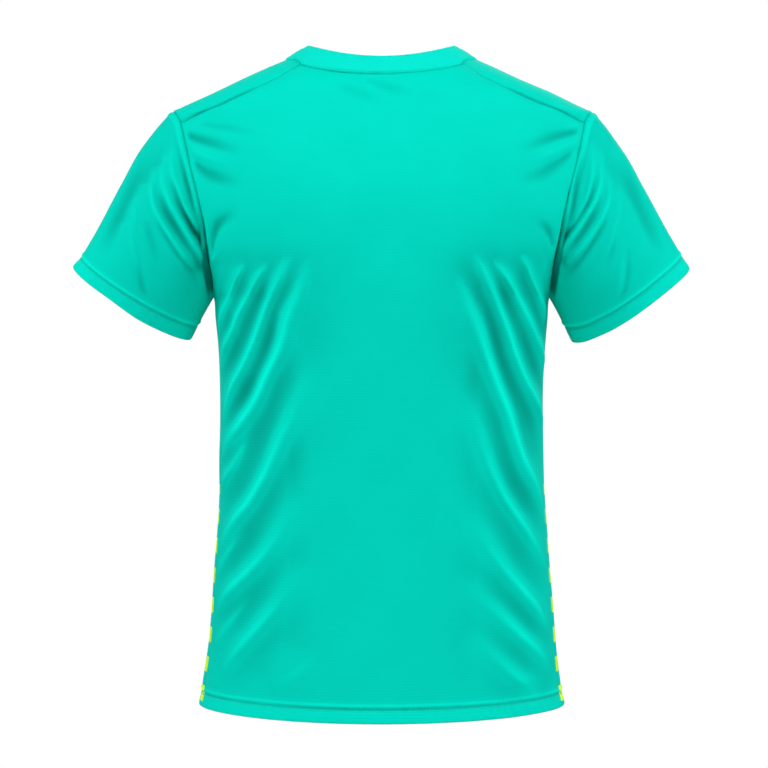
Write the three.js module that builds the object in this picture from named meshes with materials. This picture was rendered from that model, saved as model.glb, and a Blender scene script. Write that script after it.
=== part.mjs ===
// A short-sleeved sports shirt, filled out with no wearer: front, back, two set-in sleeves and a neckband.
// Millimetres, +Z up. +Y is the way that the wearer faces and +X is the wearer's right.
// The origin is the middle of the neck, level with the two points where the shoulders meet the neckband.
import * as THREE from "three";

// ---------- driving dimensions ----------
const HEM_LEVEL = -711; // side hem, below the neck points
const HEM_DIP = 4.5; // how much lower the hem hangs at the middle
const HEM_FOLD = 15; // height of the turned hem at the body
const CUFF_FOLD = 14; // height of the turned hem at the cuff
const UNDERARM_LEVEL = -263;
const NECK_HALF = 102.5; // neck seam, from the middle to each side
const NECK_BACK_DROP = 27.8;
const NECK_FRONT_DROP = 95;
const SHOULDER_TIP = 231; // the top of the armhole, from the middle
const SHOULDER_SLOPE = 0.466; // fall of the shoulder line for each mm outwards
// The seam behind the shoulder line: where it ends, how far it drops at the armhole, and its sag between.
const SHOULDER_SEAM = { armholeX: 217, neckX: 87, drop: 23.5, sag: 2.2 };
const CLOTH = 1.5; // wall of a single layer
const FOLDED_CLOTH = 2.4; // wall of a turned hem
const RIB = 2.6; // wall of the doubled neckband
const SEAM_GAP = 0.3;
const ROUNDNESS = 2.06; // exponent of the body's level sections: 2 is an ellipse

// Level sections of the body, from the hem up. half: half width. back, front: depth each way from y 0.
// seam: how far the side seam lies behind the widest point, in degrees round the section.
// Above the underarm, half runs on past the armhole as the width that the body and arm share.
const BODY = [
  { z: -723, half: 200, back: 128, front: 118, seam: 12 },
  { z: -707, half: 198.8, back: 127, front: 117.5, seam: 11.7 },
  { z: -668, half: 194.3, back: 124.5, front: 116.5, seam: 11 },
  { z: -625, half: 190.3, back: 122, front: 116, seam: 10 },
  { z: -581, half: 186.3, back: 120, front: 115.5, seam: 9 },
  { z: -515, half: 181.8, back: 118, front: 115, seam: 7.6 },
  { z: -449, half: 178.8, back: 117, front: 114.5, seam: 6 },
  { z: -383, half: 177.8, back: 117, front: 114.5, seam: 4 },
  { z: -323, half: 179.5, back: 118.5, front: 116.5, seam: 2 },
  { z: -288, half: 182, back: 120, front: 118, seam: 0.8 },
  { z: -263, half: 184.2, back: 121, front: 119, seam: 0 },
  { z: -235, half: 198, back: 121.5, front: 119, seam: 0 },
  { z: -208, half: 217, back: 121.5, front: 117.5, seam: 0 },
  { z: -177, half: 232, back: 120.5, front: 112.5, seam: 0 },
  { z: -153, half: 239, back: 118, front: 107.5, seam: 0 },
  { z: -129, half: 243, back: 113.5, front: 100, seam: 0 },
  { z: -103, half: 242.5, back: 107, front: 89.5, seam: 0 },
  { z: -76, half: 236, back: 98, front: 76, seam: 0 },
  { z: -59.9, half: 231, back: 92, front: 66, seam: 0 },
  { z: -40, half: 188, back: 85, front: 56.5, seam: 0 },
  { z: -25, half: 156, back: 73.5, front: 47.5, seam: 0 },
  { z: -10, half: 124, back: 55, front: 37, seam: 0 },
  { z: 0, half: 102.5, back: 40, front: 30, seam: 0 },
];

// Armhole, from the underarm up to the shoulder: how far its back and front edges lie from the middle.
const ARMHOLE_BACK = [
  { z: -263, x: 184.2 },
  { z: -235, x: 188 },
  { z: -208, x: 190.5 },
  { z: -177, x: 193.5 },
  { z: -153, x: 198 },
  { z: -129, x: 204.4 },
  { z: -103, x: 211 },
];
const ARMHOLE_FRONT = [
  { z: -263, x: 184.2 },
  { z: -238, x: 185 },
  { z: -203, x: 186.5 },
  { z: -168, x: 190.5 },
  { z: -133, x: 198 },
  { z: -103, x: 210 },
  { z: -76, x: 224.5 },
];

// Top edge of the neckband: its half width, its height at the sides, and its depth and fall each way.
const NECKBAND = { half: 81.5, rise: 12.5, back: { deep: 67, fall: 20 }, front: { deep: 71, fall: 91.5 } };
const NECKBAND_SWELL = 1.3; // how far the band rounds out between its edges

// Sleeve: cuff ring and the way that the sleeve hangs, for the wearer's right arm.
const CUFF = { x: 275.5, y: 12, z: -270.5, halfWide: 75.5, halfDeep: 43, roundness: 1.8 };
const SLEEVE_HANG = 58.8; // degrees below level
const SLEEVE_FORWARD = 14.5; // degrees that the sleeve swings forward
// How steeply the cloth leaves the armhole, in degrees below level, and how fast it bends into the sleeve.
const SLEEVE_LEAVES = { underarm: 57, middle: 50, top: 42 };
const SLEEVE_PULL = { start: 0.85, end: 1.0 };

// Grid of each sheet, in pieces.
const GRID = {
  shoulder: 7,
  backNeck: 6,
  frontNeck: 7,
  body: 20,
  armhole: 10,
  strip: 2,
  sleeve: 9,
  neckband: 2,
};

// Soft folds: each is a ridge (height above 0) or a trough that runs from a to c by way of b, as x and z
// seen from behind. side: -1 on the back of the shirt, 1 on the front. wide: half width of the fold.
const fold = (side, ax, az, bx, bz, cx, cz, wide, height) => ({
  side,
  a: new THREE.Vector2(ax, az),
  b: new THREE.Vector2(bx, bz),
  c: new THREE.Vector2(cx, cz),
  wide,
  height,
});
const BACK_FOLDS = [
  fold(-1, -126, -240, -154, -283, -172, -323, 10, 3.5),
  fold(-1, -102, -233, -138, -309, -171, -381, 11, 5),
  fold(-1, -83, -240, -117, -334, -170, -422, 13, 6),
  fold(-1, -76, -336, -119, -436, -175, -525, 14, 6),
  fold(-1, -91, -484, -128, -538, -174, -590, 14, 5),
  fold(-1, -83, -553, -120, -598, -162, -649, 14, 4),
  fold(-1, 125, -235, 160, -287, 177, -328, 10, 3.5),
  fold(-1, 103, -230, 142, -315, 177, -396, 11, 5),
  fold(-1, 83, -248, 126, -359, 172, -478, 13, 6),
  fold(-1, 91, -366, 124, -459, 174, -541, 14, 5.5),
  fold(-1, 90, -497, 132, -551, 175, -608, 14, 5),
  fold(-1, 86, -565, 130, -603, 175, -651, 13, 4),
  fold(-1, -213, -90, -184, -103, -152, -116, 9, -3),
  fold(-1, -203, -119, -181, -133, -156, -146, 9, -3),
  fold(-1, 216, -86, 190, -98, 157, -107, 9, -3),
  fold(-1, 207, -112, 186, -129, 160, -142, 9, -3),
  fold(-1, -185, -206, -175, -188, -148, -174, 9, -3.5),
  fold(-1, 188, -204, 176, -184, 150, -170, 9, -3.5),
];
const FRONT_FOLDS = [
  fold(1, -122, -243, -150, -293, -172, -348, 11, 4),
  fold(1, -94, -265, -130, -348, -172, -435, 13, 5.5),
  fold(1, -72, -365, -114, -449, -172, -527, 14, 5.5),
  fold(1, -84, -489, -124, -559, -174, -621, 14, 4.5),
  fold(1, 120, -239, 152, -299, 172, -355, 11, 4),
  fold(1, 86, -259, 128, -355, 172, -455, 13, 5.5),
  fold(1, 76, -391, 120, -473, 174, -559, 14, 5),
  fold(1, 94, -531, 136, -593, 176, -645, 13, 4),
  fold(1, -202, -125, -176, -149, -140, -163, 10, -3),
  fold(1, 200, -119, 172, -145, 138, -161, 10, -3),
];
const SLEEVE_FOLDS = [-1, 1].flatMap((hand) =>
  [-1, 1].flatMap((side) => [
    fold(side, hand * 236, -130, hand * 222, -172, hand * 200, -216, 8, -3.5),
    fold(side, hand * 246, -158, hand * 233, -190, hand * 208, -228, 8, 3.5),
    fold(side, hand * 268, -200, hand * 262, -236, hand * 253, -270, 10, -2.5),
  ]),
);
const FOLDS = [...BACK_FOLDS, ...FRONT_FOLDS, ...SLEEVE_FOLDS];

// ---------- small helpers ----------
const clamp = (value, low, high) => Math.min(high, Math.max(low, value));
const mix = THREE.MathUtils.lerp;
const radians = THREE.MathUtils.degToRad;
const smooth = (value, low, high) => THREE.MathUtils.smoothstep(value, low, high);

// A smooth function through one column of a table, by its z.
function track(rows, column) {
  const at = rows.map((row) => row.z);
  const values = rows.map((row) => row[column]);
  const slopes = values.map((_, i) => {
    const low = Math.max(i - 1, 0);
    const high = Math.min(i + 1, at.length - 1);
    return (values[high] - values[low]) / (at[high] - at[low]);
  });
  return (z) => {
    const i = clamp(at.findIndex((level) => level > z) - 1, 0, at.length - 2);
    const last = z >= at[at.length - 1] ? at.length - 2 : i;
    const span = at[last + 1] - at[last];
    const t = clamp((z - at[last]) / span, 0, 1);
    return hermite(values[last], slopes[last] * span, values[last + 1], slopes[last + 1] * span, t);
  };
}

function hermite(start, leave, end, arrive, t) {
  const t2 = t * t;
  const t3 = t2 * t;
  return (2 * t3 - 3 * t2 + 1) * start + (t3 - 2 * t2 + t) * leave
    + (3 * t2 - 2 * t3) * end + (t3 - t2) * arrive;
}

// Points along a curve at shares of its length. curve(t) gives a vector for t from 0 to 1.
function spaced(curve, shares) {
  const steps = 240;
  const points = Array.from({ length: steps + 1 }, (_, i) => curve(i / steps));
  const run = [0];
  for (let i = 1; i <= steps; i += 1) {
    run.push(run[i - 1] + points[i].distanceTo(points[i - 1]));
  }
  return shares.map((share) => {
    const goal = share * run[steps];
    const i = clamp(run.findIndex((length) => length >= goal) - 1, 0, steps - 1);
    const t = (goal - run[i]) / Math.max(run[i + 1] - run[i], 1e-9);
    return points[i].clone().lerp(points[i + 1], clamp(t, 0, 1));
  });
}

const shares = (count) => Array.from({ length: count + 1 }, (_, i) => i / count);

// ---------- the body's form ----------
const shoulderLine = (x) => -SHOULDER_SLOPE * (Math.abs(x) - NECK_HALF);
const bodyHalf = track(BODY, "half");
// Above the shoulder tip the sections end on the shoulder line.
const halfWidth = (z) => (z > shoulderLine(SHOULDER_TIP) ? NECK_HALF - z / SHOULDER_SLOPE : bodyHalf(z));
const backDepth = track(BODY, "back");
const frontDepth = track(BODY, "front");
const seamAngle = track(BODY, "seam");

// The point of the form at x and z, on its back (side -1) or its front (side 1).
function onForm(x, z, side) {
  const share = Math.min(1, Math.abs(x) / halfWidth(z));
  const depth = side < 0 ? backDepth(z) : frontDepth(z);
  return new THREE.Vector3(x, side * depth * (1 - share ** ROUNDNESS) ** (1 / ROUNDNESS), z);
}

// The point of a level section by angle: 0 at the side, 90 at the middle of the back, -90 at the front.
function onSection(angle, z) {
  const along = Math.cos(radians(angle)) ** (2 / ROUNDNESS);
  const across = Math.abs(Math.sin(radians(angle))) ** (2 / ROUNDNESS);
  const depth = angle > 0 ? -backDepth(z) : frontDepth(z);
  return new THREE.Vector3(halfWidth(z) * along, depth * across, z);
}

// Neck seam as x and z, for t from 0 at the side to 1 at the middle.
function backNeck(t) {
  const start = Math.acos(SHOULDER_SEAM.neckX / NECK_HALF);
  const turn = mix(start, Math.PI / 2, t);
  return new THREE.Vector2(NECK_HALF * Math.cos(turn), -NECK_BACK_DROP * Math.sin(turn) ** 1.25);
}
function frontNeck(t) {
  const turn = (t * Math.PI) / 2;
  return new THREE.Vector2(NECK_HALF * Math.cos(turn), -NECK_FRONT_DROP * Math.sin(turn) ** 1.3);
}

// Shoulder seam as x and z, for t from 0 at the armhole to 1 at the neck.
function shoulderSeam(t) {
  const { armholeX, drop, sag } = SHOULDER_SEAM;
  const p = new THREE.Vector2(armholeX, shoulderLine(armholeX) - drop).lerp(backNeck(0), t);
  p.y -= sag * 4 * t * (1 - t);
  return p;
}
function shoulderRidge(t) {
  const x = mix(SHOULDER_TIP, NECK_HALF, t);
  return new THREE.Vector2(x, shoulderLine(x));
}

// ---------- half panels, for x above 0: rows of points from the armhole or side to the middle ----------

// Rows between the underarm and the top edge, as a blend of the four edges in x and z.
function upperRows(side, armhole, top, rowShares, columns) {
  const tip = top(0);
  const edgeX = track([...armhole, { z: tip.y, x: tip.x }], "x");
  const edge = spaced((t) => {
    const z = mix(UNDERARM_LEVEL, tip.y, t);
    return onForm(edgeX(z), z, side);
  }, rowShares).map((p) => new THREE.Vector2(p.x, p.z));
  const bottom = (t) => new THREE.Vector2(onSection(-side * 90 * t, UNDERARM_LEVEL).x, UNDERARM_LEVEL);
  const bottomCorner = bottom(0);
  const bottomMiddle = bottom(1);
  const topCorner = top(0);
  const topMiddle = top(1);
  return rowShares.map((v, k) => {
    const middle = bottomMiddle.clone().lerp(topMiddle, v);
    const flat = (t) => {
      const across = edge[k].clone().lerp(middle, t);
      const upwards = bottom(t).lerp(top(t), v);
      const corners = bottomCorner.clone().lerp(topCorner, v)
        .lerp(bottomMiddle.clone().lerp(topMiddle, v), t);
      return across.add(upwards).sub(corners);
    };
    const curve = (t) => {
      const p = flat(t);
      return onForm(p.x, p.y, side);
    };
    const even = spaced(curve, columns);
    return columns.map((t, i) => {
      const own = curve(t);
      const p = even[i].lerp(own, v ** 2);
      return i === 0 ? onForm(edge[k].x, edge[k].y, side) : onForm(p.x, p.z, side);
    });
  });
}

// Level rows from the hem to the underarm.
function lowerRows(side, columns) {
  const levels = [HEM_LEVEL, HEM_LEVEL + HEM_FOLD,
    ...shares(GRID.body).slice(1).map((t) => mix(HEM_LEVEL + HEM_FOLD, UNDERARM_LEVEL, t))];
  return levels.map((z) => {
    const seam = seamAngle(z);
    const dip = HEM_DIP * smooth(-z, -UNDERARM_LEVEL, -HEM_LEVEL);
    const row = spaced((t) => onSection(mix(seam, -side * 90, t), z), columns);
    row.forEach((p) => {
      p.z -= dip * (1 - (p.x / row[0].x) ** 2);
    });
    return row;
  });
}

const BACK_COLUMNS = shares(GRID.shoulder + GRID.backNeck);
const FRONT_COLUMNS = shares(GRID.shoulder + GRID.frontNeck);
const backTurn = GRID.shoulder / (GRID.shoulder + GRID.backNeck);
const frontTurn = GRID.shoulder / (GRID.shoulder + GRID.frontNeck);
const backTop = (t) => {
  if (t < backTurn) return shoulderSeam(t / backTurn);
  return backNeck((t - backTurn) / (1 - backTurn));
};
const frontTop = (t) => {
  if (t < frontTurn) return shoulderRidge(t / frontTurn);
  return frontNeck((t - frontTurn) / (1 - frontTurn));
};

const backRows = [
  ...lowerRows(-1, BACK_COLUMNS),
  ...upperRows(-1, ARMHOLE_BACK, backTop, shares(GRID.armhole), BACK_COLUMNS).slice(1),
];
// The front's rows crowd towards the shoulder line, where the cloth turns over.
const frontShares = shares(GRID.armhole).map((v) => 1 - (1 - v) ** 1.45);
const frontRows = [
  ...lowerRows(1, FRONT_COLUMNS),
  ...upperRows(1, ARMHOLE_FRONT, frontTop, frontShares, FRONT_COLUMNS).slice(1),
];
// From the shoulder line the front runs on over the shoulder to the seam behind it.
const stripRows = shares(GRID.strip).slice(1).map((t) => shares(GRID.shoulder).map((along) => {
  const ridge = shoulderRidge(along);
  const seam = shoulderSeam(along);
  return onForm(mix(ridge.x, seam.x, t), mix(ridge.y, seam.y, t ** 1.7), -1);
}));

// ---------- sheets: points and outward triangles ----------
const mirrored = (p) => new THREE.Vector3(-p.x, p.y, p.z);

// One row across the whole panel, from left to right as seen from outside.
function wholeRow(half, side) {
  const left = half.map((p) => (side < 0 ? mirrored(p) : p.clone()));
  const right = half.map((p) => (side < 0 ? p.clone() : mirrored(p)));
  return [...left, ...right.slice(0, -1).reverse()];
}

function makeSheet() {
  return { points: [], faces: [], wall: [] };
}

// Adds a grid of rows, each from left to right as seen from outside.
function addGrid(sheet, rows, wallOf) {
  const index = rows.map((row, r) => row.map((p) => {
    const known = sheet.points.findIndex((q) => q.distanceToSquared(p) < 1e-6);
    if (known >= 0) return known;
    sheet.points.push(p.clone());
    sheet.wall.push(wallOf(r));
    return sheet.points.length - 1;
  }));
  for (let r = 0; r + 1 < index.length; r += 1) {
    for (let c = 0; c + 1 < index[r].length; c += 1) {
      const [a, b, d, e] = [index[r][c], index[r][c + 1], index[r + 1][c + 1], index[r + 1][c]];
      if (rounds(...[a, b, d, e].map((i) => sheet.points[i]))) sheet.faces.push([a, b, d], [a, d, e]);
      else sheet.faces.push([a, b, e], [b, d, e]);
    }
  }
}

// Whether the diagonal from a to d stands further out than the one from b to e.
function rounds(a, b, d, e) {
  const first = d.clone().sub(a);
  const second = e.clone().sub(b);
  const outwards = first.clone().cross(second);
  const step = a.clone().add(d).sub(b).sub(e).dot(outwards) / outwards.length();
  return Math.abs(step) < 0.02 ? a.x + d.x < b.x + e.x : step > 0;
}

const hemWall = (row) => (row < 2 ? FOLDED_CLOTH : CLOTH);
const plainWall = () => CLOTH;

function backSheet() {
  const sheet = makeSheet();
  addGrid(sheet, backRows.map((row) => wholeRow(row, -1)), hemWall);
  return sheet;
}

function frontSheet() {
  const sheet = makeSheet();
  addGrid(sheet, frontRows.map((row) => wholeRow(row, 1)), hemWall);
  const ridge = frontRows[frontRows.length - 1].slice(0, GRID.shoulder + 1);
  const strips = [ridge, ...stripRows];
  addGrid(sheet, strips.map((row) => row.map((p) => p.clone())), plainWall);
  addGrid(sheet, strips.map((row) => row.map(mirrored).reverse()), plainWall);
  return sheet;
}

// The armhole's points on the wearer's right, from the underarm up the back and down the front.
function armholeLoop() {
  const lower = GRID.body + 1;
  const up = backRows.slice(lower).map((row) => row[0]);
  const over = stripRows.map((row) => row[0]).slice(0, -1).reverse();
  const down = frontRows.slice(lower).map((row) => row[0]).reverse();
  return [...up, ...over, ...down.slice(0, -1)];
}

function sleeveSheet(hand) {
  const loop = armholeLoop();
  const hang = radians(SLEEVE_HANG);
  const swing = radians(SLEEVE_FORWARD);
  const down = new THREE.Vector3(Math.cos(hang), 0, -Math.sin(hang));
  const inwards = new THREE.Vector3(-Math.sin(hang), 0, -Math.cos(hang));
  const axis = down.clone().multiplyScalar(Math.cos(swing)).add(new THREE.Vector3(0, Math.sin(swing), 0));
  const backwards = new THREE.Vector3(0, -Math.cos(swing), 0);
  const behind = down.clone().multiplyScalar(Math.sin(swing)).add(backwards);
  const centre = new THREE.Vector3(CUFF.x, CUFF.y, CUFF.z);
  const run = [0];
  loop.forEach((p, i) => run.push(run[i] + p.distanceTo(loop[(i + 1) % loop.length])));
  const top = loop.reduce((best, p, i) => (p.z > loop[best].z ? i : best), 0);

  const rings = shares(GRID.sleeve).map(() => []);
  loop.forEach((start, i) => {
    const turn = i <= top
      ? (run[i] / run[top]) * Math.PI
      : Math.PI + ((run[i] - run[top]) / (run[loop.length] - run[top])) * Math.PI;
    const c = Math.cos(turn);
    const s = Math.sin(turn);
    const power = 2 / CUFF.roundness;
    const end = centre.clone()
      .addScaledVector(inwards, CUFF.halfWide * Math.sign(c) * Math.abs(c) ** power)
      .addScaledVector(behind, CUFF.halfDeep * Math.sign(s) * Math.abs(s) ** power);
    const height = (1 - c) / 2; // 0 at the underarm, 1 at the shoulder
    const steep = height < 0.5
      ? mix(SLEEVE_LEAVES.underarm, SLEEVE_LEAVES.middle, height * 2)
      : mix(SLEEVE_LEAVES.middle, SLEEVE_LEAVES.top, height * 2 - 1);
    const leave = new THREE.Vector3(Math.cos(radians(steep)), 0, -Math.sin(radians(steep)));
    const long = start.distanceTo(end);
    rings.forEach((ring, k) => {
      const cuffShare = 1 - CUFF_FOLD / long;
      const t = k === GRID.sleeve ? 1 : (k / (GRID.sleeve - 1)) * cuffShare;
      ring.push(new THREE.Vector3(...["x", "y", "z"].map((n) => hermite(start[n],
        leave[n] * long * SLEEVE_PULL.start, end[n], axis[n] * long * SLEEVE_PULL.end, t))));
    });
  });
  const sheet = makeSheet();
  const closed = rings.map((ring) => [...ring, ring[0]]).reverse();
  const rows = closed.map((ring) => (hand > 0 ? ring : ring.map(mirrored).reverse()));
  const wallOf = (row) => (row < 2 ? FOLDED_CLOTH : CLOTH);
  addGrid(sheet, rows, wallOf);
  return sheet;
}

// The neck seam's points, all the way round from the middle of the back by the wearer's right.
function neckLoop() {
  const back = backRows[backRows.length - 1].slice(GRID.shoulder).reverse();
  const over = stripRows.map((row) => row[GRID.shoulder]).slice(0, -1).reverse();
  const front = frontRows[frontRows.length - 1].slice(GRID.shoulder);
  const right = [...back, ...over, ...front];
  return [...right, ...right.slice(1, -1).reverse().map(mirrored)];
}

function neckbandSheet() {
  const loop = neckLoop();
  const rows = shares(GRID.neckband).map((share) => loop.map((p) => {
    const cosine = clamp(p.x / NECK_HALF, -1, 1);
    const sine = Math.sqrt(1 - cosine ** 2);
    const { deep, fall } = p.y < 0 ? NECKBAND.back : NECKBAND.front;
    const power = p.y < 0 ? 1.95 : 1.3;
    const y = Math.sign(p.y) * deep * sine;
    const edge = new THREE.Vector3(NECKBAND.half * cosine, y, NECKBAND.rise - fall * sine ** power);
    const outwards = new THREE.Vector3(p.x, p.y, 0.4 * NECK_HALF).normalize();
    return p.clone().lerp(edge, share).addScaledVector(outwards, 4 * share * (1 - share) * NECKBAND_SWELL);
  }));
  const sheet = makeSheet();
  addGrid(sheet, rows.map((row) => [...row, row[0]]), () => RIB);
  return sheet;
}

// ---------- from sheets to walls ----------
const place = (p) => `${p.x.toFixed(3)},${p.y.toFixed(3)},${p.z.toFixed(3)}`;

// Outward normals at every place, shared by all the sheets that meet there, so that walls meet in a mitre.
function sharedNormals(sheets) {
  const normals = new Map();
  const triangle = new THREE.Triangle();
  const normal = new THREE.Vector3();
  sheets.forEach(({ points, faces }) => faces.forEach((face) => {
    triangle.set(...face.map((i) => points[i]));
    triangle.getNormal(normal);
    face.forEach((i, corner) => {
      const to = points[face[(corner + 1) % 3]].clone().sub(points[i]);
      const from = points[face[(corner + 2) % 3]].clone().sub(points[i]);
      const key = place(points[i]);
      if (!normals.has(key)) normals.set(key, new THREE.Vector3());
      normals.get(key).addScaledVector(normal, to.angleTo(from));
    });
  }));
  normals.forEach((sum) => sum.normalize());
  return normals;
}

// How far all the folds move a point outwards.
function foldHeight(point, normal) {
  const flat = new THREE.Vector2(point.x, point.z);
  return FOLDS.reduce((sum, { side, a, b, c, wide, height }) => {
    const facing = smooth(normal.y * side, 0.05, 0.4);
    if (facing === 0) return sum;
    const bend = b.clone().multiplyScalar(2).addScaledVector(a, -0.5).addScaledVector(c, -0.5);
    const curve = new THREE.QuadraticBezierCurve(a, bend, c);
    let near = Infinity;
    let where = 0;
    const steps = 24;
    for (let i = 0; i <= steps; i += 1) {
      const away = curve.getPoint(i / steps).distanceTo(flat);
      if (away < near) {
        near = away;
        where = i / steps;
      }
    }
    const taper = Math.sin(Math.PI * clamp(where, 0.04, 0.96)) ** 0.6;
    return sum + facing * height * taper * Math.exp(-((near / wide) ** 2));
  }, 0);
}

function foldSheets(sheets, creased) {
  const normals = sharedNormals(sheets);
  return sheets.map((sheet, i) => {
    if (!creased[i]) return sheet;
    const points = sheet.points.map((p) => {
      const normal = normals.get(place(p));
      return p.clone().addScaledVector(normal, foldHeight(p, normal));
    });
    return { ...sheet, points };
  });
}

// Edges with a triangle on one side only, in the direction of that triangle.
function openEdges(faces) {
  const edges = new Map();
  faces.forEach((face) => face.forEach((from, corner) => {
    const to = face[(corner + 1) % 3];
    edges.set(`${from}_${to}`, [from, to]);
  }));
  return [...edges.values()].filter(([from, to]) => !edges.has(`${to}_${from}`));
}

// Takes a point on an open edge clear of the cloth beyond it, moving square to the mitre each way.
function seamMove(into, before, after, mitre, normal) {
  const square = (edge) => {
    const flat = edge.clone().cross(mitre);
    const across = flat.length() > 0.4 * edge.length() ? flat : edge.clone().cross(normal);
    across.normalize();
    return across.dot(into) < 0 ? across.negate() : across;
  };
  const first = square(before);
  const second = square(after);
  const sum = first.clone().add(second);
  return sum.multiplyScalar(SEAM_GAP / 2 / Math.max(0.5, 1 + first.dot(second)));
}

// A closed wall: the sheet outside, its copy a thickness inside, and a rim along the open edges.
function wallGeometry(sheet, normals) {
  const { points, faces, wall } = sheet;
  const open = openEdges(faces);
  const into = points.map(() => new THREE.Vector3());
  const own = points.map(() => new THREE.Vector3());
  const triangle = new THREE.Triangle();
  const middle = new THREE.Vector3();
  const normal = new THREE.Vector3();
  faces.forEach((face) => {
    triangle.set(...face.map((i) => points[i]));
    triangle.getMidpoint(middle);
    triangle.getNormal(normal);
    face.forEach((i) => {
      own[i].add(normal);
      into[i].add(middle).sub(points[i]);
    });
  });
  const before = new Map(open.map(([from, to]) => [to, from]));
  const after = new Map(open);
  const outer = points.map((p, i) => {
    if (!after.has(i)) return p.clone();
    const edges = [p.clone().sub(points[before.get(i)]), points[after.get(i)].clone().sub(p)];
    return p.clone().add(seamMove(into[i], ...edges, normals.get(place(p)), own[i]));
  });
  const inner = outer.map((p, i) => {
    const shared = normals.get(place(points[i]));
    const mitre = clamp(shared.dot(own[i].normalize()), 0.5, 1);
    return p.clone().addScaledVector(shared, -wall[i] / mitre);
  });
  const count = points.length;
  const index = faces.flatMap(([a, b, c]) => [a, b, c, a + count, c + count, b + count]);
  open.forEach(([from, to]) => {
    // Both walls of a seam split their rims the same way, from the lower point.
    if (isLower(points[from], points[to])) index.push(to, from, from + count, to, from + count, to + count);
    else index.push(to, from, to + count, from, from + count, to + count);
  });
  const geometry = new THREE.BufferGeometry();
  geometry.setFromPoints([...outer, ...inner]);
  geometry.setIndex(index);
  return geometry;
}

function isLower(p, q) {
  const step = Math.abs(p.z - q.z) > 1e-4 ? p.z - q.z : p.x - q.x;
  return step < 0;
}

// ---------- the shirt ----------
const jersey = () => new THREE.MeshStandardMaterial({ color: 0x00cdb7, roughness: 0.62, metalness: 0 });
const ribbing = () => new THREE.MeshStandardMaterial({ color: 0x06d6c0, roughness: 0.66, metalness: 0 });

const PIECES = [
  { name: "back_panel", sheet: backSheet(), creased: true, material: jersey() },
  { name: "front_panel", sheet: frontSheet(), creased: true, material: jersey() },
  { name: "sleeve_left", sheet: sleeveSheet(-1), creased: true, material: jersey() },
  { name: "sleeve_right", sheet: sleeveSheet(1), creased: true, material: jersey() },
  { name: "neckband", sheet: neckbandSheet(), creased: false, material: ribbing() },
];
const sheets = foldSheets(PIECES.map((piece) => piece.sheet), PIECES.map((piece) => piece.creased));
const normals = sharedNormals(sheets);

const shirt = new THREE.Group();
PIECES.forEach(({ name, material }, i) => {
  const mesh = new THREE.Mesh(wallGeometry(sheets[i], normals), material);
  mesh.name = name;
  shirt.add(mesh);
});

export default shirt;
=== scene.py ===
"""A sports shirt, filled out with no wearer: fine cloth shells over its solids, hems, seams and stitches."""

import math

import bpy
import numpy as np
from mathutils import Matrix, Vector
from mathutils.kdtree import KDTree


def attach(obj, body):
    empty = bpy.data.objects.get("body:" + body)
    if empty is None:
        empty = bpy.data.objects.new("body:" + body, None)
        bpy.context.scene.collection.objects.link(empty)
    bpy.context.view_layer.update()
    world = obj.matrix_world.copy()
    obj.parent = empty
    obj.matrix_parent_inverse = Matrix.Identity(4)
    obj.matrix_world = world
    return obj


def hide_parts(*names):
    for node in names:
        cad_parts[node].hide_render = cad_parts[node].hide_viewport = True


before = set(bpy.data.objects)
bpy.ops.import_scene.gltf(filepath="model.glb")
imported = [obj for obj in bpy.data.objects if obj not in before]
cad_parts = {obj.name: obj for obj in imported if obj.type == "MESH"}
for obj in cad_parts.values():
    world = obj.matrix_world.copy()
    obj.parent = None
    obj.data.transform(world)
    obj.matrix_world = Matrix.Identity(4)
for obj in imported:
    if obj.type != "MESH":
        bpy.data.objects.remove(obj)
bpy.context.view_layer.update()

# ---------- the cut, in millimetres, as in the solids ----------
HEM_LEVEL = -711
HEM_DIP = 4.5
UNDERARM_LEVEL = -263
NECK_HALF = 102.5
NECK_BACK_DROP = 27.8
NECK_FRONT_DROP = 95
SHOULDER_TIP = 231
SHOULDER_SLOPE = 0.466
SEAM_ARMHOLE_X, SEAM_NECK_X, SEAM_DROP, SEAM_SAG = 217, 87, 23.5, 2.2
ROUNDNESS = 2.06
SEAM_GAP = 0.3
CLOTH, RIB = 1.1, 2.4
# Up from the edge to where the turned cloth ends and to each row of stitches, how far the edge flares, and
# how much the swell above it is painted lighter, a painted highlight
HEM = {"turned": 14.1, "stitches": (12.5, 15.7), "flare": 1.8, "light": 0.26}
CUFF_HEM = {"turned": 16.2, "stitches": (14.4, 17.8), "flare": 1.0, "light": 0.34}

# z, half width, depth to the back and to the front, degrees that the side seam lies behind the widest point
BODY = [
    (-723, 200, 128, 118, 12),
    (-707, 198.8, 127, 117.5, 11.7),
    (-668, 194.3, 124.5, 116.5, 11),
    (-625, 190.3, 122, 116, 10),
    (-581, 186.3, 120, 115.5, 9),
    (-515, 181.8, 118, 115, 7.6),
    (-449, 178.8, 117, 114.5, 6),
    (-383, 177.8, 117, 114.5, 4),
    (-323, 179.5, 118.5, 116.5, 2),
    (-288, 182, 120, 118, 0.8),
    (-263, 184.2, 121, 119, 0),
    (-235, 198, 121.5, 119, 0),
    (-208, 217, 121.5, 117.5, 0),
    (-177, 232, 120.5, 112.5, 0),
    (-153, 239, 118, 107.5, 0),
    (-129, 243, 113.5, 100, 0),
    (-103, 242.5, 107, 89.5, 0),
    (-76, 236, 98, 76, 0),
    (-59.9, 231, 92, 66, 0),
    (-40, 188, 85, 56.5, 0),
    (-25, 156, 73.5, 47.5, 0),
    (-10, 124, 55, 37, 0),
    (0, 102.5, 40, 30, 0),
]
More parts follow.
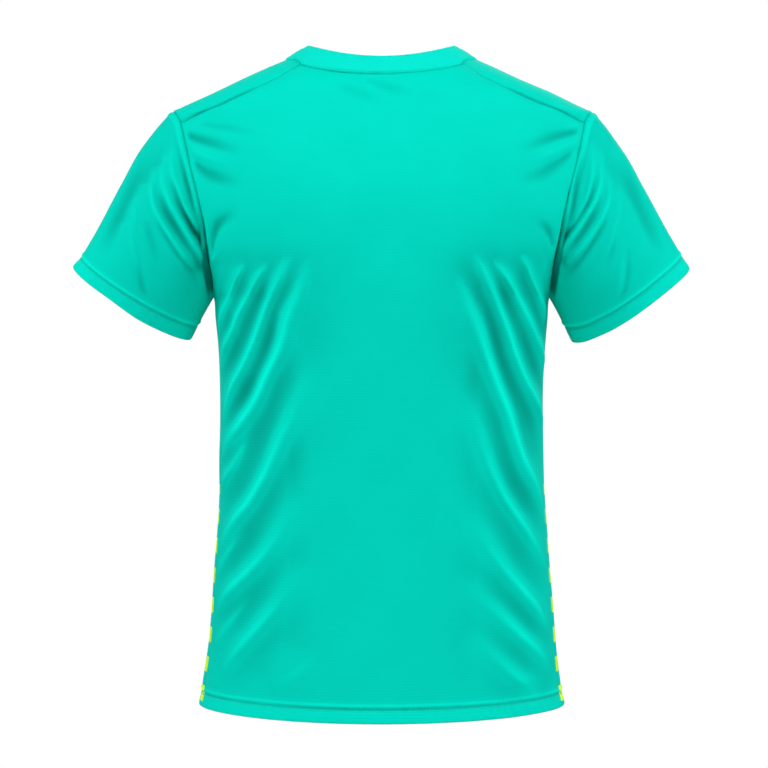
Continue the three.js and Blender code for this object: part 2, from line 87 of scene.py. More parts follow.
# z, distance of the armhole's edge from the middle
ARMHOLE_BACK = [
    (-263, 184.2), (-235, 188), (-208, 190.5), (-177, 193.5), (-153, 198), (-129, 204.4), (-103, 211),
]
ARMHOLE_FRONT = [
    (-263, 184.2), (-238, 185), (-203, 186.5), (-168, 190.5), (-133, 198), (-103, 210), (-76, 224.5),
]
# Top edge of the neckband: half width, rise at the sides, then its depth, fall and the fall's curve each way
BAND_HALF, BAND_RISE, BAND_SWELL = 81.5, 12.5, 1.3
BAND_BACK, BAND_FRONT = (67, 20, 1.7), (71, 91.5, 1.3)
# The cuff's ring, and the degrees that the sleeve hangs down and swings forward at it
CUFF = {"x": 275.5, "y": 12, "z": -270.5, "wide": 75.5, "deep": 43, "round": 1.93}
SLEEVE_HANG, SLEEVE_FORWARD = 58.8, 14.5
# Degrees down at which the sleeve leaves the armhole's foot, middle and top, and how strongly its line is led
# by the armhole and by the cuff
LEAVES = (57, 50, 42)
PULL = (0.85, 1.0)

# Steps of the grid: across the flank and shoulder, half the neckline behind and in front, up to the underarm,
# up the armhole, over the shoulder, along a sleeve, and up the neckband
FLANK, BACK_NECK, FRONT_NECK, ROWS, ARMHOLE, STRIP, SLEEVE, BAND_ROWS = 78, 30, 28, 122, 70, 10, 92, 24
# Shares of a half panel's top edge that the shoulder takes
BACK_TURN, FRONT_TURN = 7 / 13, 1 / 2
# Distances of the lowest rows from the edge: close together round the stitches
HEM_STEPS = [0, 1.2, 3, 5.5, 8, 10, 11.5, 12.5, 13.3, 14.1, 14.9, 15.7, 16.7, 18, 19.5, 21.5, 24, 27, 31]
CUFF_STEPS = [0, 1.2, 3, 5.5, 8.5, 11, 13, 14.4, 15.4, 16.2, 17, 17.8, 18.8, 20.2, 22, 24.5, 28]
FAR = 1e3

# ---------- folds: (half width, height) and the line as x and z seen from behind ----------
BACK_FOLDS = [
    # crests on the wearer's left
    (6, 5.4, [(-148, -238), (-162, -268), (-172, -288)]),
    (7, 7.6, [(-124, -238), (-137, -263), (-150, -285), (-158, -304), (-170, -327)]),
    (9, 8.5, [
        (-99, -231), (-110, -258), (-121, -283), (-132, -311), (-144, -337), (-156, -359), (-168, -386)
    ]),
    (11, 9.8, [
        (-77, -234), (-85, -264), (-95, -289), (-104, -320), (-120, -353), (-132, -379), (-148, -402),
        (-168, -426)
    ]),
    (11, 9.0, [
        (-70, -326), (-84, -370), (-95, -398), (-106, -421), (-120, -454), (-138, -485), (-154, -504),
        (-172, -529)
    ]),
    (7, 4.3, [(-140, -410), (-148, -429), (-158, -447), (-170, -463)]),
    (11, 7.6, [(-85, -477), (-104, -512), (-122, -540), (-142, -563), (-172, -593)]),
    (11, 6.0, [(-77, -548), (-95, -575), (-114, -600), (-136, -626), (-160, -653)]),
    (14, 1.8, [(-66, -640), (-86, -662), (-118, -682)]),
    (6, 2.4, [(-138, -584), (-154, -606), (-172, -628)]),
    (6, 2.2, [(-146, -514), (-160, -534), (-172, -552)]),
    # crests on the wearer's right
    (6, 5.4, [(150, -229), (160, -250), (174, -277)]),
    (7, 7.8, [(121, -234), (140, -263), (154, -289), (164, -310), (174, -332)]),
    (9, 9.3, [
        (100, -228), (113, -260), (123, -283), (132, -305), (140, -329), (150, -353), (162, -376),
        (174, -400)
    ]),
    (11, 10.0, [
        (79, -244), (89, -275), (100, -305), (110, -334), (120, -361), (132, -390), (140, -417),
        (150, -444), (164, -469), (174, -493)
    ]),
    (10, 7.4, [(87, -362), (99, -401), (110, -439), (120, -464), (130, -483), (148, -510), (170, -544)]),
    (11, 7.8, [(86, -494), (106, -523), (126, -553), (146, -578), (172, -612)]),
    (11, 6.6, [(82, -564), (100, -584), (124, -605), (146, -627), (172, -654)]),
    (11, 4.4, [(89, -620), (116, -646), (138, -667), (162, -689)]),
    # drags at the shoulders, below the neckband and round the armholes; each starts at the armhole
    (7, -2.2, [(-216, -88), (-195, -97), (-171, -106), (-138, -114)]),
    (8, -2.0, [(-205, -118), (-189, -132), (-170, -141), (-140, -150)]),
    (5, -1.0, [(-198, -79), (-157, -88), (-126, -96)]),
    (7, 1.9, [(-212, -104), (-186, -118), (-156, -128)]),
    (7, 1.9, [(214, -98), (186, -112), (154, -126)]),
    (7, -2.0, [(216, -85), (192, -93), (170, -102), (136, -114)]),
    (8, -1.7, [(208, -108), (188, -123), (168, -136), (134, -147)]),
    (7, -3.2, [(-181, -226), (-182, -208), (-177, -192), (-165, -182), (-146, -174)]),
    (5, -2.2, [(184, -217), (181, -201), (173, -191), (158, -186)]),
    (7, 1.6, [(-189, -236), (-178, -224), (-168, -212)]),
    (6, -1.9, [(-20, -34), (0, -41), (26, -50), (40, -56)]),
    (6, -1.2, [(-48, -40), (-26, -50), (-8, -60), (8, -70)]),
]
FRONT_FOLDS = [
    (9, 3.0, [(-124, -240), (-150, -288), (-174, -342)]),
    (12, 4.8, [(-96, -258), (-122, -330), (-146, -386), (-173, -438)]),
    (13, 5.0, [(-72, -360), (-100, -424), (-134, -482), (-175, -530)]),
    (12, 4.4, [(-84, -486), (-120, -552), (-148, -592), (-176, -622)]),
    (12, 3.4, [(-88, -580), (-124, -628), (-164, -664)]),
    (9, 3.2, [(120, -236), (148, -292), (174, -352)]),
    (12, 4.8, [(90, -254), (124, -340), (150, -404), (174, -456)]),
    (13, 5.2, [(76, -386), (110, -458), (142, -512), (176, -562)]),
    (12, 4.2, [(92, -528), (128, -582), (152, -618), (178, -648)]),
    (12, 2.8, [(96, -612), (126, -648), (164, -682)]),
    (10, -3.2, [(-112, -262), (-138, -318), (-172, -388)]),
    (13, -4.2, [(-84, -318), (-110, -382), (-138, -430), (-174, -482)]),
    (12, -4.0, [(-82, -432), (-114, -492), (-144, -538), (-177, -576)]),
    (12, -3.4, [(-84, -532), (-120, -592), (-150, -622), (-176, -646)]),
    (10, -3.2, [(104, -250), (132, -312), (172, -398)]),
    (13, -4.2, [(82, -326), (112, -392), (142, -452), (175, -506)]),
    (12, -4.0, [(84, -462), (118, -520), (146, -566), (178, -606)]),
    (12, -3.2, [(94, -568), (126, -618), (150, -640), (176, -664)]),
    (7, -2.2, [(-202, -125), (-178, -147), (-146, -160)]),
    (7, -2.2, [(200, -119), (174, -143), (142, -158)]),
    (8, -2.6, [(-184, -212), (-170, -192), (-146, -182)]),
    (8, -2.6, [(184, -216), (168, -194), (142, -184)]),
]
# Folds of the sleeves as seen from behind: half width, height, the shares of its length over which it dies
# away at its start and end, and the line, whose x is below 0 on the left sleeve
SLEEVE_FOLDS = [
    (3.8, 3.4, 0.4, 0.2, [
        (-226, -98), (-223, -131), (-216, -151), (-209, -169), (-200, -184), (-195, -198)
    ]),
    (4.2, 5.4, 0.32, 0.12, [
        (-234, -108), (-233, -142), (-226, -163), (-218, -178), (-207, -197), (-198, -212), (-188, -230)
    ]),
    (5, 5.6, 0.28, 0.15, [
        (-245, -124), (-245, -151), (-241, -172), (-232, -189), (-221, -206), (-210, -221), (-201, -236)
    ]),
    (9, 1.6, 0.4, 0.3, [
        (-262, -132), (-267, -160), (-269, -182), (-268, -203), (-264, -227), (-258, -252)
    ]),
    (3.6, -3.4, 0.5, 0.05, [
        (-222, -84), (-214.5, -117), (-208.5, -142), (-203, -163), (-197, -184), (-191.5, -204),
        (-187, -221)
    ]),
    (3.6, -5.6, 0.75, 0.03, [
        (-232, -116), (-226, -133), (-219.5, -154), (-213.5, -172), (-203, -193), (-191, -210),
        (-184, -230)
    ]),
    (6, -2.8, 0.6, 0.08, [
        (-238, -120), (-236, -157), (-229, -177), (-218, -195), (-209, -210), (-198, -226), (-188, -242)
    ]),
    (3.4, -2.2, 0.45, 0.35, [
        (-246, -160), (-242, -179), (-236, -193), (-227, -208), (-218, -222), (-208, -234), (-198, -250)
    ]),
    (4, -1.25, 0.4, 0.2, [(-265, -187), (-264, -214), (-262, -237), (-258, -258), (-252, -275)]),
    (3.6, -0.75, 0.4, 0.45, [(-256, -176), (-251, -195), (-246.5, -212), (-242, -232)]),
    (10, -2.2, 0.4, 0.4, [
        (-255, -112), (-266, -134), (-277, -158), (-288, -180), (-297, -201), (-304, -226)
    ]),
    (3.8, 3.4, 0.4, 0.2, [(227, -94), (226, -116), (224, -138), (219, -158), (210, -177), (197, -197)]),
    (4.2, 5.4, 0.4, 0.12, [
        (237, -100), (235, -121), (233, -144), (225, -167), (210, -190), (197, -208), (189, -226)
    ]),
    (5, 5.6, 0.4, 0.15, [(244, -126), (243, -147), (240, -167), (230, -188), (213, -211), (196, -231)]),
    (7, 1.4, 0.4, 0.3, [(256, -140), (254, -169), (251, -188), (246, -208), (240, -224)]),
    (7, 1.4, 0.4, 0.3, [(261, -206), (258, -231), (256, -251), (252, -268)]),
    (3.6, -1.15, 0.3, 0.45, [(252, -172), (251, -197), (249, -212), (246, -226), (243, -238)]),
    (3.6, -1.3, 0.45, 0.2, [(267, -200), (266.5, -221), (265, -249), (261, -266), (256, -277)]),
    (3.6, -3.4, 0.5, 0.05, [
        (226, -83), (218.5, -108), (210, -138), (203.5, -174), (200, -190), (194, -207), (189, -221)
    ]),
    (3.6, -5.6, 0.75, 0.03, [
        (232, -106), (229, -135), (224, -160), (215, -177), (206, -192), (197, -204), (190, -218),
        (184, -236)
    ]),
    (6, -2.8, 0.6, 0.08, [
        (239, -112), (236, -144), (227, -172), (216, -195), (208, -207), (195, -227), (191, -237)
    ]),
    (3.4, -2.2, 0.45, 0.35, [
        (245, -158), (240, -183), (233, -198), (226, -209), (218, -221), (208, -234), (198, -248)
    ]),
    (10, -2.2, 0.4, 0.4, [(257, -108), (268, -134), (276, -155), (287, -178), (297, -200), (308, -226)]),
]
# The same for the sleeves' fronts, seen through the shirt
SLEEVE_FRONT_FOLDS = [
    (7, 4.2, 0.35, 0.15, [(-236, -112), (-230, -146), (-220, -172), (-206, -196), (-196, -210)]),
    (8, 4.6, 0.35, 0.15, [(-252, -128), (-246, -160), (-234, -188), (-216, -214), (-204, -230)]),
    (9, 2.2, 0.35, 0.15, [(-266, -150), (-268, -186), (-264, -222), (-257, -254)]),
    (7, 4.4, 0.35, 0.15, [(234, -108), (229, -140), (220, -168), (207, -192), (198, -206)]),
    (8, 4.4, 0.35, 0.15, [(250, -124), (245, -156), (234, -186), (218, -210), (206, -226)]),
    (9, 2.4, 0.35, 0.15, [(268, -156), (266, -190), (261, -226), (254, -258)]),
]
# z, distance from the middle inside which the back hangs almost smooth
SMOOTH_BACK = [
    (-740, 74), (-480, 80), (-400, 84), (-350, 91), (-320, 95), (-289, 89), (-264, 79), (-234, 71), (0, 71),
]

# ---------- small helpers ----------


def track(rows, column):
    """A smooth function through one column of a table, by its first column."""
    z = np.array([r[0] for r in rows], float)
    v = np.array([r[column] for r in rows], float)
    low = np.maximum(np.arange(len(z)) - 1, 0)
    high = np.minimum(np.arange(len(z)) + 1, len(z) - 1)
    slope = (v[high] - v[low]) / (z[high] - z[low])

    def at(q):
        q = np.asarray(q, float)
        i = np.clip(np.searchsorted(z, q, side="right") - 1, 0, len(z) - 2)
        span = z[i + 1] - z[i]
        t = np.clip((q - z[i]) / span, 0, 1)
        return hermite(v[i], slope[i] * span, v[i + 1], slope[i + 1] * span, t)

    return at


def hermite(start, leave, end, arrive, t):
    return (
        (2 * t**3 - 3 * t**2 + 1) * start
        + (t**3 - 2 * t**2 + t) * leave
        + (3 * t**2 - 2 * t**3) * end
        + (t**3 - t**2) * arrive
    )


def smooth(value, low, high):
    t = np.clip((value - low) / (high - low), 0, 1)
    return t * t * (3 - 2 * t)


def bell(value, middle, wide):
    return np.exp(-(((value - middle) / wide) ** 2))


def unit(vectors):
    return vectors / np.maximum(np.linalg.norm(vectors, axis=-1, keepdims=True), 1e-9)


def run_of(line):
    """The length along a line of points to each of them."""
    return np.r_[0, np.cumsum(np.linalg.norm(np.diff(line, axis=0), axis=1))]


def along(line, run, at):
    """Points where a line's run comes to each value of at."""
    return np.stack([np.interp(at, run, line[:, k]) for k in range(line.shape[1])], -1)


def spaced(line, parts):
    """Points along a dense line at shares of its length."""
    run = run_of(line)
    return along(line, run, np.asarray(parts) * run[-1])


def shares(count):
    return np.arange(count + 1) / count


# ---------- the body's form ----------
body_half = track(BODY, 1)
back_depth, front_depth = track(BODY, 2), track(BODY, 3)
seam_angle = track(BODY, 4)


def shoulder_line(x):
    return -SHOULDER_SLOPE * (np.abs(x) - NECK_HALF)


def half_width(z):
    z = np.asarray(z, float)
    return np.where(z > shoulder_line(SHOULDER_TIP), NECK_HALF - z / SHOULDER_SLOPE, body_half(z))


def on_form(x, z, side):
    x, z = np.broadcast_arrays(np.asarray(x, float), np.asarray(z, float))
    share = np.minimum(1, np.abs(x) / half_width(z))
    depth = back_depth(z) if side < 0 else front_depth(z)
    y = side * depth * (1 - share**ROUNDNESS) ** (1 / ROUNDNESS)
    return np.stack([x, y, z], -1)


def on_section(angle, z, side):
    """A level section by degrees from the side, 0, to the middle, 90. Below 0 is on the other side."""
    a = np.radians(angle)
    sideways = np.abs(np.cos(a)) ** (2 / ROUNDNESS)
    across = np.abs(np.sin(a)) ** (2 / ROUNDNESS)
    own = np.sign(np.sin(a)) * side
    depth = np.where(own < 0, back_depth(z), front_depth(z))
    return np.stack([half_width(z) * sideways, own * depth * across, np.full_like(a, z)], -1)


def back_neck(t):
    start = math.acos(SEAM_NECK_X / NECK_HALF)
    turn = start + (math.pi / 2 - start) * t
    return np.stack([NECK_HALF * np.cos(turn), -NECK_BACK_DROP * np.sin(turn) ** 1.25], -1)


def front_neck(t):
    turn = t * math.pi / 2
    return np.stack([NECK_HALF * np.cos(turn), -NECK_FRONT_DROP * np.sin(turn) ** 1.3], -1)


def shoulder_seam(t):
    armhole = np.array([SEAM_ARMHOLE_X, shoulder_line(SEAM_ARMHOLE_X) - SEAM_DROP])
    p = armhole + (back_neck(np.array(0.0)) - armhole) * np.asarray(t)[..., None]
    p[..., 1] -= SEAM_SAG * 4 * t * (1 - t)
    return p


def shoulder_ridge(t):
    x = SHOULDER_TIP + (NECK_HALF - SHOULDER_TIP) * t
    return np.stack([x, shoulder_line(x)], -1)


# ---------- half panels, for x above 0, from the armhole or side to the middle ----------
DENSE = shares(240)


def upper_rows(side, armhole, top, row_shares, columns):
    tip = top(np.array([0.0]))[0]
    edge_x = track([*armhole, (tip[1], tip[0])], 1)
    z = UNDERARM_LEVEL + (tip[1] - UNDERARM_LEVEL) * DENSE
    edge = spaced(on_form(edge_x(z), z, side), row_shares)[:, [0, 2]]
    bottom_x = on_section(90 * DENSE, float(UNDERARM_LEVEL), side)[:, 0]
    bottom = np.stack([bottom_x, np.full_like(bottom_x, UNDERARM_LEVEL)], -1)
    roof = top(DENSE)
    rows = []
    for v, at_edge in zip(row_shares, edge):
        t = DENSE[:, None]
        upwards = bottom + (roof - bottom) * v
        near, far = upwards[0], upwards[-1]
        flat = at_edge + (far - at_edge) * t + upwards - (near + (far - near) * t)
        line = on_form(flat[:, 0], flat[:, 1], side)
        even = spaced(line, columns)
        own = along(line, DENSE, columns)
        mixed = even + (own - even) * v**2
        mixed[0] = (at_edge[0], 0, at_edge[1])
        rows.append(on_form(mixed[:, 0], mixed[:, 2], side))
    return np.array(rows)


def lower_rows(side, levels, columns):
    rows = []
    for z in levels:
        seam = -side * float(seam_angle(z))
        angle = seam + (90 - seam) * DENSE
        row = spaced(on_section(angle, float(z), side), columns)
        dip = HEM_DIP * smooth(-z, -UNDERARM_LEVEL, -HEM_LEVEL)
        row[:, 2] -= dip * (1 - (row[:, 0] / row[0, 0]) ** 2)
        rows.append(row)
    return np.array(rows)


levels = [HEM_LEVEL + s for s in HEM_STEPS]
levels += list(np.linspace(levels[-1], UNDERARM_LEVEL, ROWS + 1)[1:])


def columns_to(turn, count):
    """Shares of a half panel's width: close together to the end of the shoulder, then wider to the middle."""
    return np.concatenate([shares(FLANK) * turn, turn + shares(count)[1:] * (1 - turn)])


back_columns = columns_to(BACK_TURN, BACK_NECK)
front_columns = columns_to(FRONT_TURN, FRONT_NECK)


def back_top(t):
    t = np.asarray(t, float)
    seam = shoulder_seam(np.minimum(t / BACK_TURN, 1))
    neck = back_neck(np.clip((t - BACK_TURN) / (1 - BACK_TURN), 0, 1))
    return np.where((t < BACK_TURN - 1e-9)[..., None], seam, neck)


def front_top(t):
    t = np.asarray(t, float)
    ridge = shoulder_ridge(np.minimum(t / FRONT_TURN, 1))
    neck = front_neck(np.clip((t - FRONT_TURN) / (1 - FRONT_TURN), 0, 1))
    return np.where((t < FRONT_TURN - 1e-9)[..., None], ridge, neck)


row_shares = shares(ARMHOLE)
back_upper = upper_rows(-1, ARMHOLE_BACK, back_top, row_shares, back_columns)
back_half = np.concatenate([lower_rows(-1, levels, back_columns), back_upper[1:]])
# the front's rows are closer together towards the shoulder
front_upper = upper_rows(1, ARMHOLE_FRONT, front_top, 1 - (1 - row_shares) ** 1.45, front_columns)
front_half = np.concatenate([lower_rows(1, levels, front_columns), front_upper[1:]])
strip_t = shares(STRIP)[:, None]
strip_along = shares(FLANK)[None, :]
ridge_xz, seam_xz = shoulder_ridge(strip_along[0])[None], shoulder_seam(strip_along[0])[None]
strip_x = ridge_xz[..., 0] + (seam_xz[..., 0] - ridge_xz[..., 0]) * strip_t
strip_z = ridge_xz[..., 1] + (seam_xz[..., 1] - ridge_xz[..., 1]) * strip_t**1.7
strip = on_form(strip_x, strip_z, -1)
strip[0] = front_half[-1][: FLANK + 1]
strip[-1] = back_half[-1][: FLANK + 1]


def mirrored(p):
    return p * np.array([-1.0, 1.0, 1.0])


def whole(half, side):
    left = mirrored(half) if side < 0 else half
    right = half if side < 0 else mirrored(half)
    return np.concatenate([left, right[:, -2::-1]], 1)


# ---------- sleeves and neckband ----------


def armhole_loop():
    first = len(levels)
    up = np.concatenate([[back_half[first - 1][0]], back_half[first:, 0]])
    over = strip[1:-1, 0][::-1]
    down = front_half[first - 1 :, 0][::-1]
    return np.concatenate([up, over, down[:-1]])


ARMHOLE_POINTS = armhole_loop()


def sleeve_rings():
    """Rings of the wearer's right sleeve, from the cuff to the armhole."""
    loop = ARMHOLE_POINTS
    hang, swing = math.radians(SLEEVE_HANG), math.radians(SLEEVE_FORWARD)
    down = np.array([math.cos(hang), 0, -math.sin(hang)])
    inwards = np.array([-math.sin(hang), 0, -math.cos(hang)])
    axis = down * math.cos(swing) + np.array([0, math.sin(swing), 0])
    behind = down * math.sin(swing) + np.array([0, -math.cos(swing), 0])
    closed = np.concatenate([loop, loop[:1]])
    run = run_of(closed)
    top = int(np.argmax(loop[:, 2]))
    turn = np.where(
        np.arange(len(loop)) <= top,
        run[:-1] / run[top] * math.pi,
        math.pi + (run[:-1] - run[top]) / (run[-1] - run[top]) * math.pi,
    )
    c, s = np.cos(turn), np.sin(turn)
    power = 2 / CUFF["round"]
    end = (
        np.array([CUFF["x"], CUFF["y"], CUFF["z"]])
        + inwards * (CUFF["wide"] * np.sign(c) * np.abs(c) ** power)[:, None]
        + behind * (CUFF["deep"] * np.sign(s) * np.abs(s) ** power)[:, None]
    )
    height = (1 - c) / 2
    steep = np.radians(np.interp(height, [0, 0.5, 1], LEAVES))
    leave = np.stack([np.cos(steep), np.zeros_like(steep), -np.sin(steep)], -1)
    long = np.linalg.norm(loop - end, axis=1)[:, None]
    down_to = [1 - step / long for step in CUFF_STEPS]
    down_to += [down_to[-1] * (1 - k / SLEEVE) for k in range(1, SLEEVE + 1)]
    leave, arrive = leave * long * PULL[0], axis * long * PULL[1]
    rings = np.array([hermite(loop, leave, end, arrive, t) for t in down_to])
    return np.concatenate([rings, rings[:, :1]], 1)


def neck_loop():
    back = back_half[-1][FLANK:][::-1]
    over = strip[1:-1, -1][::-1]
    front = front_half[-1][FLANK:]
    right = np.concatenate([back, over, front])
    return np.concatenate([right, mirrored(right[-2:0:-1])])


def neckband_rows():
    loop = neck_loop()
    cosine = np.clip(loop[:, 0] / NECK_HALF, -1, 1)
    sine = np.sqrt(1 - cosine**2)
    behind = loop[:, 1] < 0
    deep = np.where(behind, BAND_BACK[0], BAND_FRONT[0])
    fall = np.where(behind, BAND_BACK[1], BAND_FRONT[1])
    power = np.where(behind, BAND_BACK[2], BAND_FRONT[2])
    y, z = np.sign(loop[:, 1]) * deep * sine, BAND_RISE - fall * sine**power
    edge = np.stack([BAND_HALF * cosine, y, z], -1)
    outwards = unit(loop * np.array([1, 1, 0]) + np.array([0, 0, 0.4 * NECK_HALF]))
    rows = [loop + (edge - loop) * t + outwards * 4 * t * (1 - t) * BAND_SWELL for t in shares(BAND_ROWS)]
    rows = np.array(rows)
    return np.concatenate([rows, rows[:, :1]], 1)


# ---------- sheets ----------
def same_places(points):
    """The first point at each place, and each point's place in that list, to a thousandth of a millimetre."""
    keys = np.round(points, 3) + 0.0
    _, first, back = np.unique(keys, axis=0, return_index=True, return_inverse=True)
    return first, back.reshape(-1)


class Sheet:
    """Grids of points, each with rows from left to right as seen from outside, welded where they meet."""

    def __init__(self, name, wall):
        self.name, self.wall, self.grids, self.uvs, self.hem = name, wall, [], [], []

    def add(self, grid, uv, hem=None):
        self.grids.append(grid)
        self.uvs.append(uv)
        self.hem.append(np.full(grid.shape[:2], FAR) if hem is None else hem)

    def weld(self):
        points = np.concatenate([g.reshape(-1, 3) for g in self.grids])
        hem = np.concatenate([h.reshape(-1) for h in self.hem])
        first, back = same_places(points)
        self.points, self.hem_at = points[first], hem[first]
        self.index, start = [], 0
        faces, corners = [], []
        for grid, uv in zip(self.grids, self.uvs):
            n = grid.shape[0] * grid.shape[1]
            ids = back[start : start + n].reshape(grid.shape[:2])
            start += n
            self.index.append(ids)
            quads = np.stack([ids[:-1, :-1], ids[:-1, 1:], ids[1:, 1:], ids[1:, :-1]], -1).reshape(-1, 4)
            places = np.stack([uv[:-1, :-1], uv[:-1, 1:], uv[1:, 1:], uv[1:, :-1]], -2).reshape(-1, 4, 2)
            faces.append(quads)
            corners.append(places)
        self.faces, self.corners = np.concatenate(faces), np.concatenate(corners)


def run_along(grid):
    step = np.linalg.norm(np.diff(grid, axis=1), axis=2)
    return np.concatenate([np.zeros((grid.shape[0], 1)), np.cumsum(step, 1)], 1)


def run_up(grid):
    return run_along(grid.transpose(1, 0, 2)).T


def panel_uv(grid):
    """Places in the flat cloth: across from the middle, and up the middle from the first row."""
    across, middle = run_along(grid), grid.shape[1] // 2
    across -= across[:, middle][:, None]
    rise = run_of(grid[:, middle])
    return np.stack([across, np.broadcast_to(rise[:, None], across.shape)], -1)


def hem_distance(grid, steps):
    rise = np.full(grid.shape[0], FAR)
    rise[: len(steps)] = steps
    return np.broadcast_to(rise[:, None], grid.shape[:2]).copy()


back_grid, front_grid = whole(back_half, -1), whole(front_half, 1)
back_sheet = Sheet("shirt_back", CLOTH)
back_sheet.add(back_grid, panel_uv(back_grid), hem_distance(back_grid, HEM_STEPS))
front_uv = panel_uv(front_grid)
front_sheet = Sheet("shirt_front", CLOTH)
front_sheet.add(front_grid, front_uv, hem_distance(front_grid, HEM_STEPS))
for hand in (1, -1):
    grid = strip if hand > 0 else mirrored(strip)[:, ::-1]
    base = front_uv[-1][: FLANK + 1] if hand > 0 else front_uv[-1][-FLANK - 1 :]
    rise = run_up(grid)
    front_sheet.add(grid, base[None] + np.stack([np.zeros_like(rise), rise], -1))

right_rings = sleeve_rings()
sleeve_sheets = {-1: Sheet("shirt_sleeve_left", CLOTH), 1: Sheet("shirt_sleeve_right", CLOTH)}
for hand, sheet in sleeve_sheets.items():
    grid = right_rings if hand > 0 else mirrored(right_rings)[:, ::-1]
    sheet.add(grid, np.stack([run_along(grid), run_up(grid)], -1), hem_distance(grid, CUFF_STEPS))
band_grid = neckband_rows()
band_sheet = Sheet("shirt_neckband", RIB)
band_sheet.add(band_grid, np.stack([run_along(band_grid), run_up(band_grid)], -1))
both_sleeves = (sleeve_sheets[-1], sleeve_sheets[1])
sheets = [back_sheet, front_sheet, *both_sleeves, band_sheet]
for sheet in sheets:
    sheet.weld()


# ---------- shared normals, folds and relief ----------
def face_normals(points, faces):
    p = points[faces]
    return unit(np.cross(p[:, 2] - p[:, 0], p[:, 3] - p[:, 1]))


def shared_normals():
    """Outward normals at every point, shared by the sheets that meet there."""
    starts = np.cumsum([0] + [len(s.points) for s in sheets])
    first, back = same_places(np.concatenate([s.base for s in sheets]))
    total = np.zeros((len(first), 3))
    for s, start in zip(sheets, starts):
        p, normal = s.points[s.faces], face_normals(s.points, s.faces)
        for corner in range(4):
            to = p[:, (corner + 1) % 4] - p[:, corner]
            fro = p[:, (corner + 3) % 4] - p[:, corner]
            size = np.linalg.norm(to, axis=1) * np.linalg.norm(fro, axis=1)
            angle = np.arccos(np.clip((to * fro).sum(1) / np.maximum(size, 1e-9), -1, 1))
            angle[size < 1e-9] = 0
            np.add.at(total, back[start + s.faces[:, corner]], normal * angle[:, None])
    total = unit(total)
    return [total[back[a:b]] for a, b in zip(starts[:-1], starts[1:])]


def section_lengths():
    """Length round the body from its middle, front and back, by level and by share of the half width."""
    levels_up = np.linspace(-745, 0, 300)
    width_shares = shares(80)
    tables = {}
    for side, depth in ((-1, back_depth), (1, front_depth)):
        rows = []
        for z in levels_up:
            turn = np.radians(90 * shares(400))
            x = float(half_width(z)) * np.sin(turn) ** (2 / ROUNDNESS)
            y = float(depth(z)) * np.cos(turn) ** (2 / ROUNDNESS)
            run = np.r_[0, np.cumsum(np.hypot(np.diff(x), np.diff(y)))]
            rows.append(np.interp(width_shares, x / x[-1], run))
        tables[side] = np.array(rows)
    return levels_up, tables


LENGTH_LEVELS, LENGTHS = section_lengths()


def look_up(table, x, z):
    step = LENGTH_LEVELS[1] - LENGTH_LEVELS[0]
    rows = np.clip((z - LENGTH_LEVELS[0]) / step, 0, len(LENGTH_LEVELS) - 1.001)
    columns = np.clip(np.abs(x) / half_width(z), 0, 1) * (table.shape[1] - 1.001)
    i, j = rows.astype(int), columns.astype(int)
    u, v = rows - i, columns - j
    low = table[i, j] * (1 - v) + table[i, j + 1] * v
    high = table[i + 1, j] * (1 - v) + table[i + 1, j + 1] * v
    return low * (1 - u) + high * u


def girth(x, z, behind):
    """Signed length round the body from the middle of the back."""
    x, z = np.asarray(x, float), np.asarray(z, float)
    back = look_up(LENGTHS[-1], x, z)
    front = look_up(LENGTHS[-1], half_width(z), z) + look_up(LENGTHS[1], half_width(z), z)
    front = front - look_up(LENGTHS[1], x, z)
    return np.where(x < 0, -1, 1) * np.where(behind, back, front)


def curve_points(line):
    """A smooth curve through a fold's points, its directions, and the share of its length at each."""
    p = np.array(line, float)
    run = run_of(p)
    rows = [(r, *q) for r, q in zip(run, p)]
    at = np.linspace(0, run[-1], 64)
    curve = np.stack([track(rows, 1)(at), track(rows, 2)(at)], -1)
    return curve, unit(np.gradient(curve, axis=0)), at / run[-1]


def fold_height(flat, line, wide, high, ends, soft, steep=-1):
    """A fold's height, and the painted highlight along its crest.

    A crest is narrow and steeper on one side: steep is -1 for its lower side and 1 for its upper one.
    Where high is below 0 the fold is a soft trough. It dies away over the shares of its length in ends.
    At its start it is wider by the share soft, or narrower where that is below 0.
    """
    curve, way, share = curve_points(line)
    reach = wide * 4.5 * (1 + max(soft, 0))
    low, top = curve.min(0) - reach, curve.max(0) + reach
    near = np.where(((flat > low) & (flat < top)).all(1))[0]
    out, light = np.zeros(len(flat)), np.zeros(len(flat))
    if len(near) == 0:
        return out, light
    from_curve = flat[near][:, None] - curve[None]
    best = (from_curve**2).sum(2).argmin(1)
    step = from_curve[np.arange(len(near)), best]
    across = np.stack([-way[:, 1], way[:, 0]], -1)
    across *= np.where(across[:, 1:] < 0, -1, 1)
    side = (step * across[best]).sum(1)
    past = np.abs((step * way[best]).sum(1))
    past = np.where((best == 0) | (best == len(curve) - 1), past, 0)
    grown = wide * (1 + soft * (1 - smooth(share[best], 0, 0.5)))
    taper = smooth(share[best], -0.01, ends[0]) * smooth(1 - share[best], -0.01, ends[1])
    taper = taper * bell(past, 0, grown)
    if high < 0:
        out[near] = high * taper * bell(side, 0, grown)
        return out, light
    # a broad crest has a rounder tip and a wider painted highlight line
    broad = np.clip(wide - 8.5, 0, 3)
    scaled = side / np.where(side * steep > 0, grown * (0.62 + 0.06 * broad), grown * (1.15 - 0.02 * broad))
    tip = 0.2 + 0.07 * broad
    profile = np.exp(tip - np.sqrt(scaled**2 + tip**2)) * (1 - smooth(np.abs(side) / reach, 0.45, 0.85))
    # a painted highlight line beside the crest, on its gentle side
    highlight_line = bell(side, -1.6 * steep, 2.7 + 0.7 * broad) * min(high / 9, 1)
    light[near] = taper * highlight_line * smooth(share[best], -0.05, 0.3 + 0.5 * abs(soft))
    out[near] = high * taper * profile
    return out, light


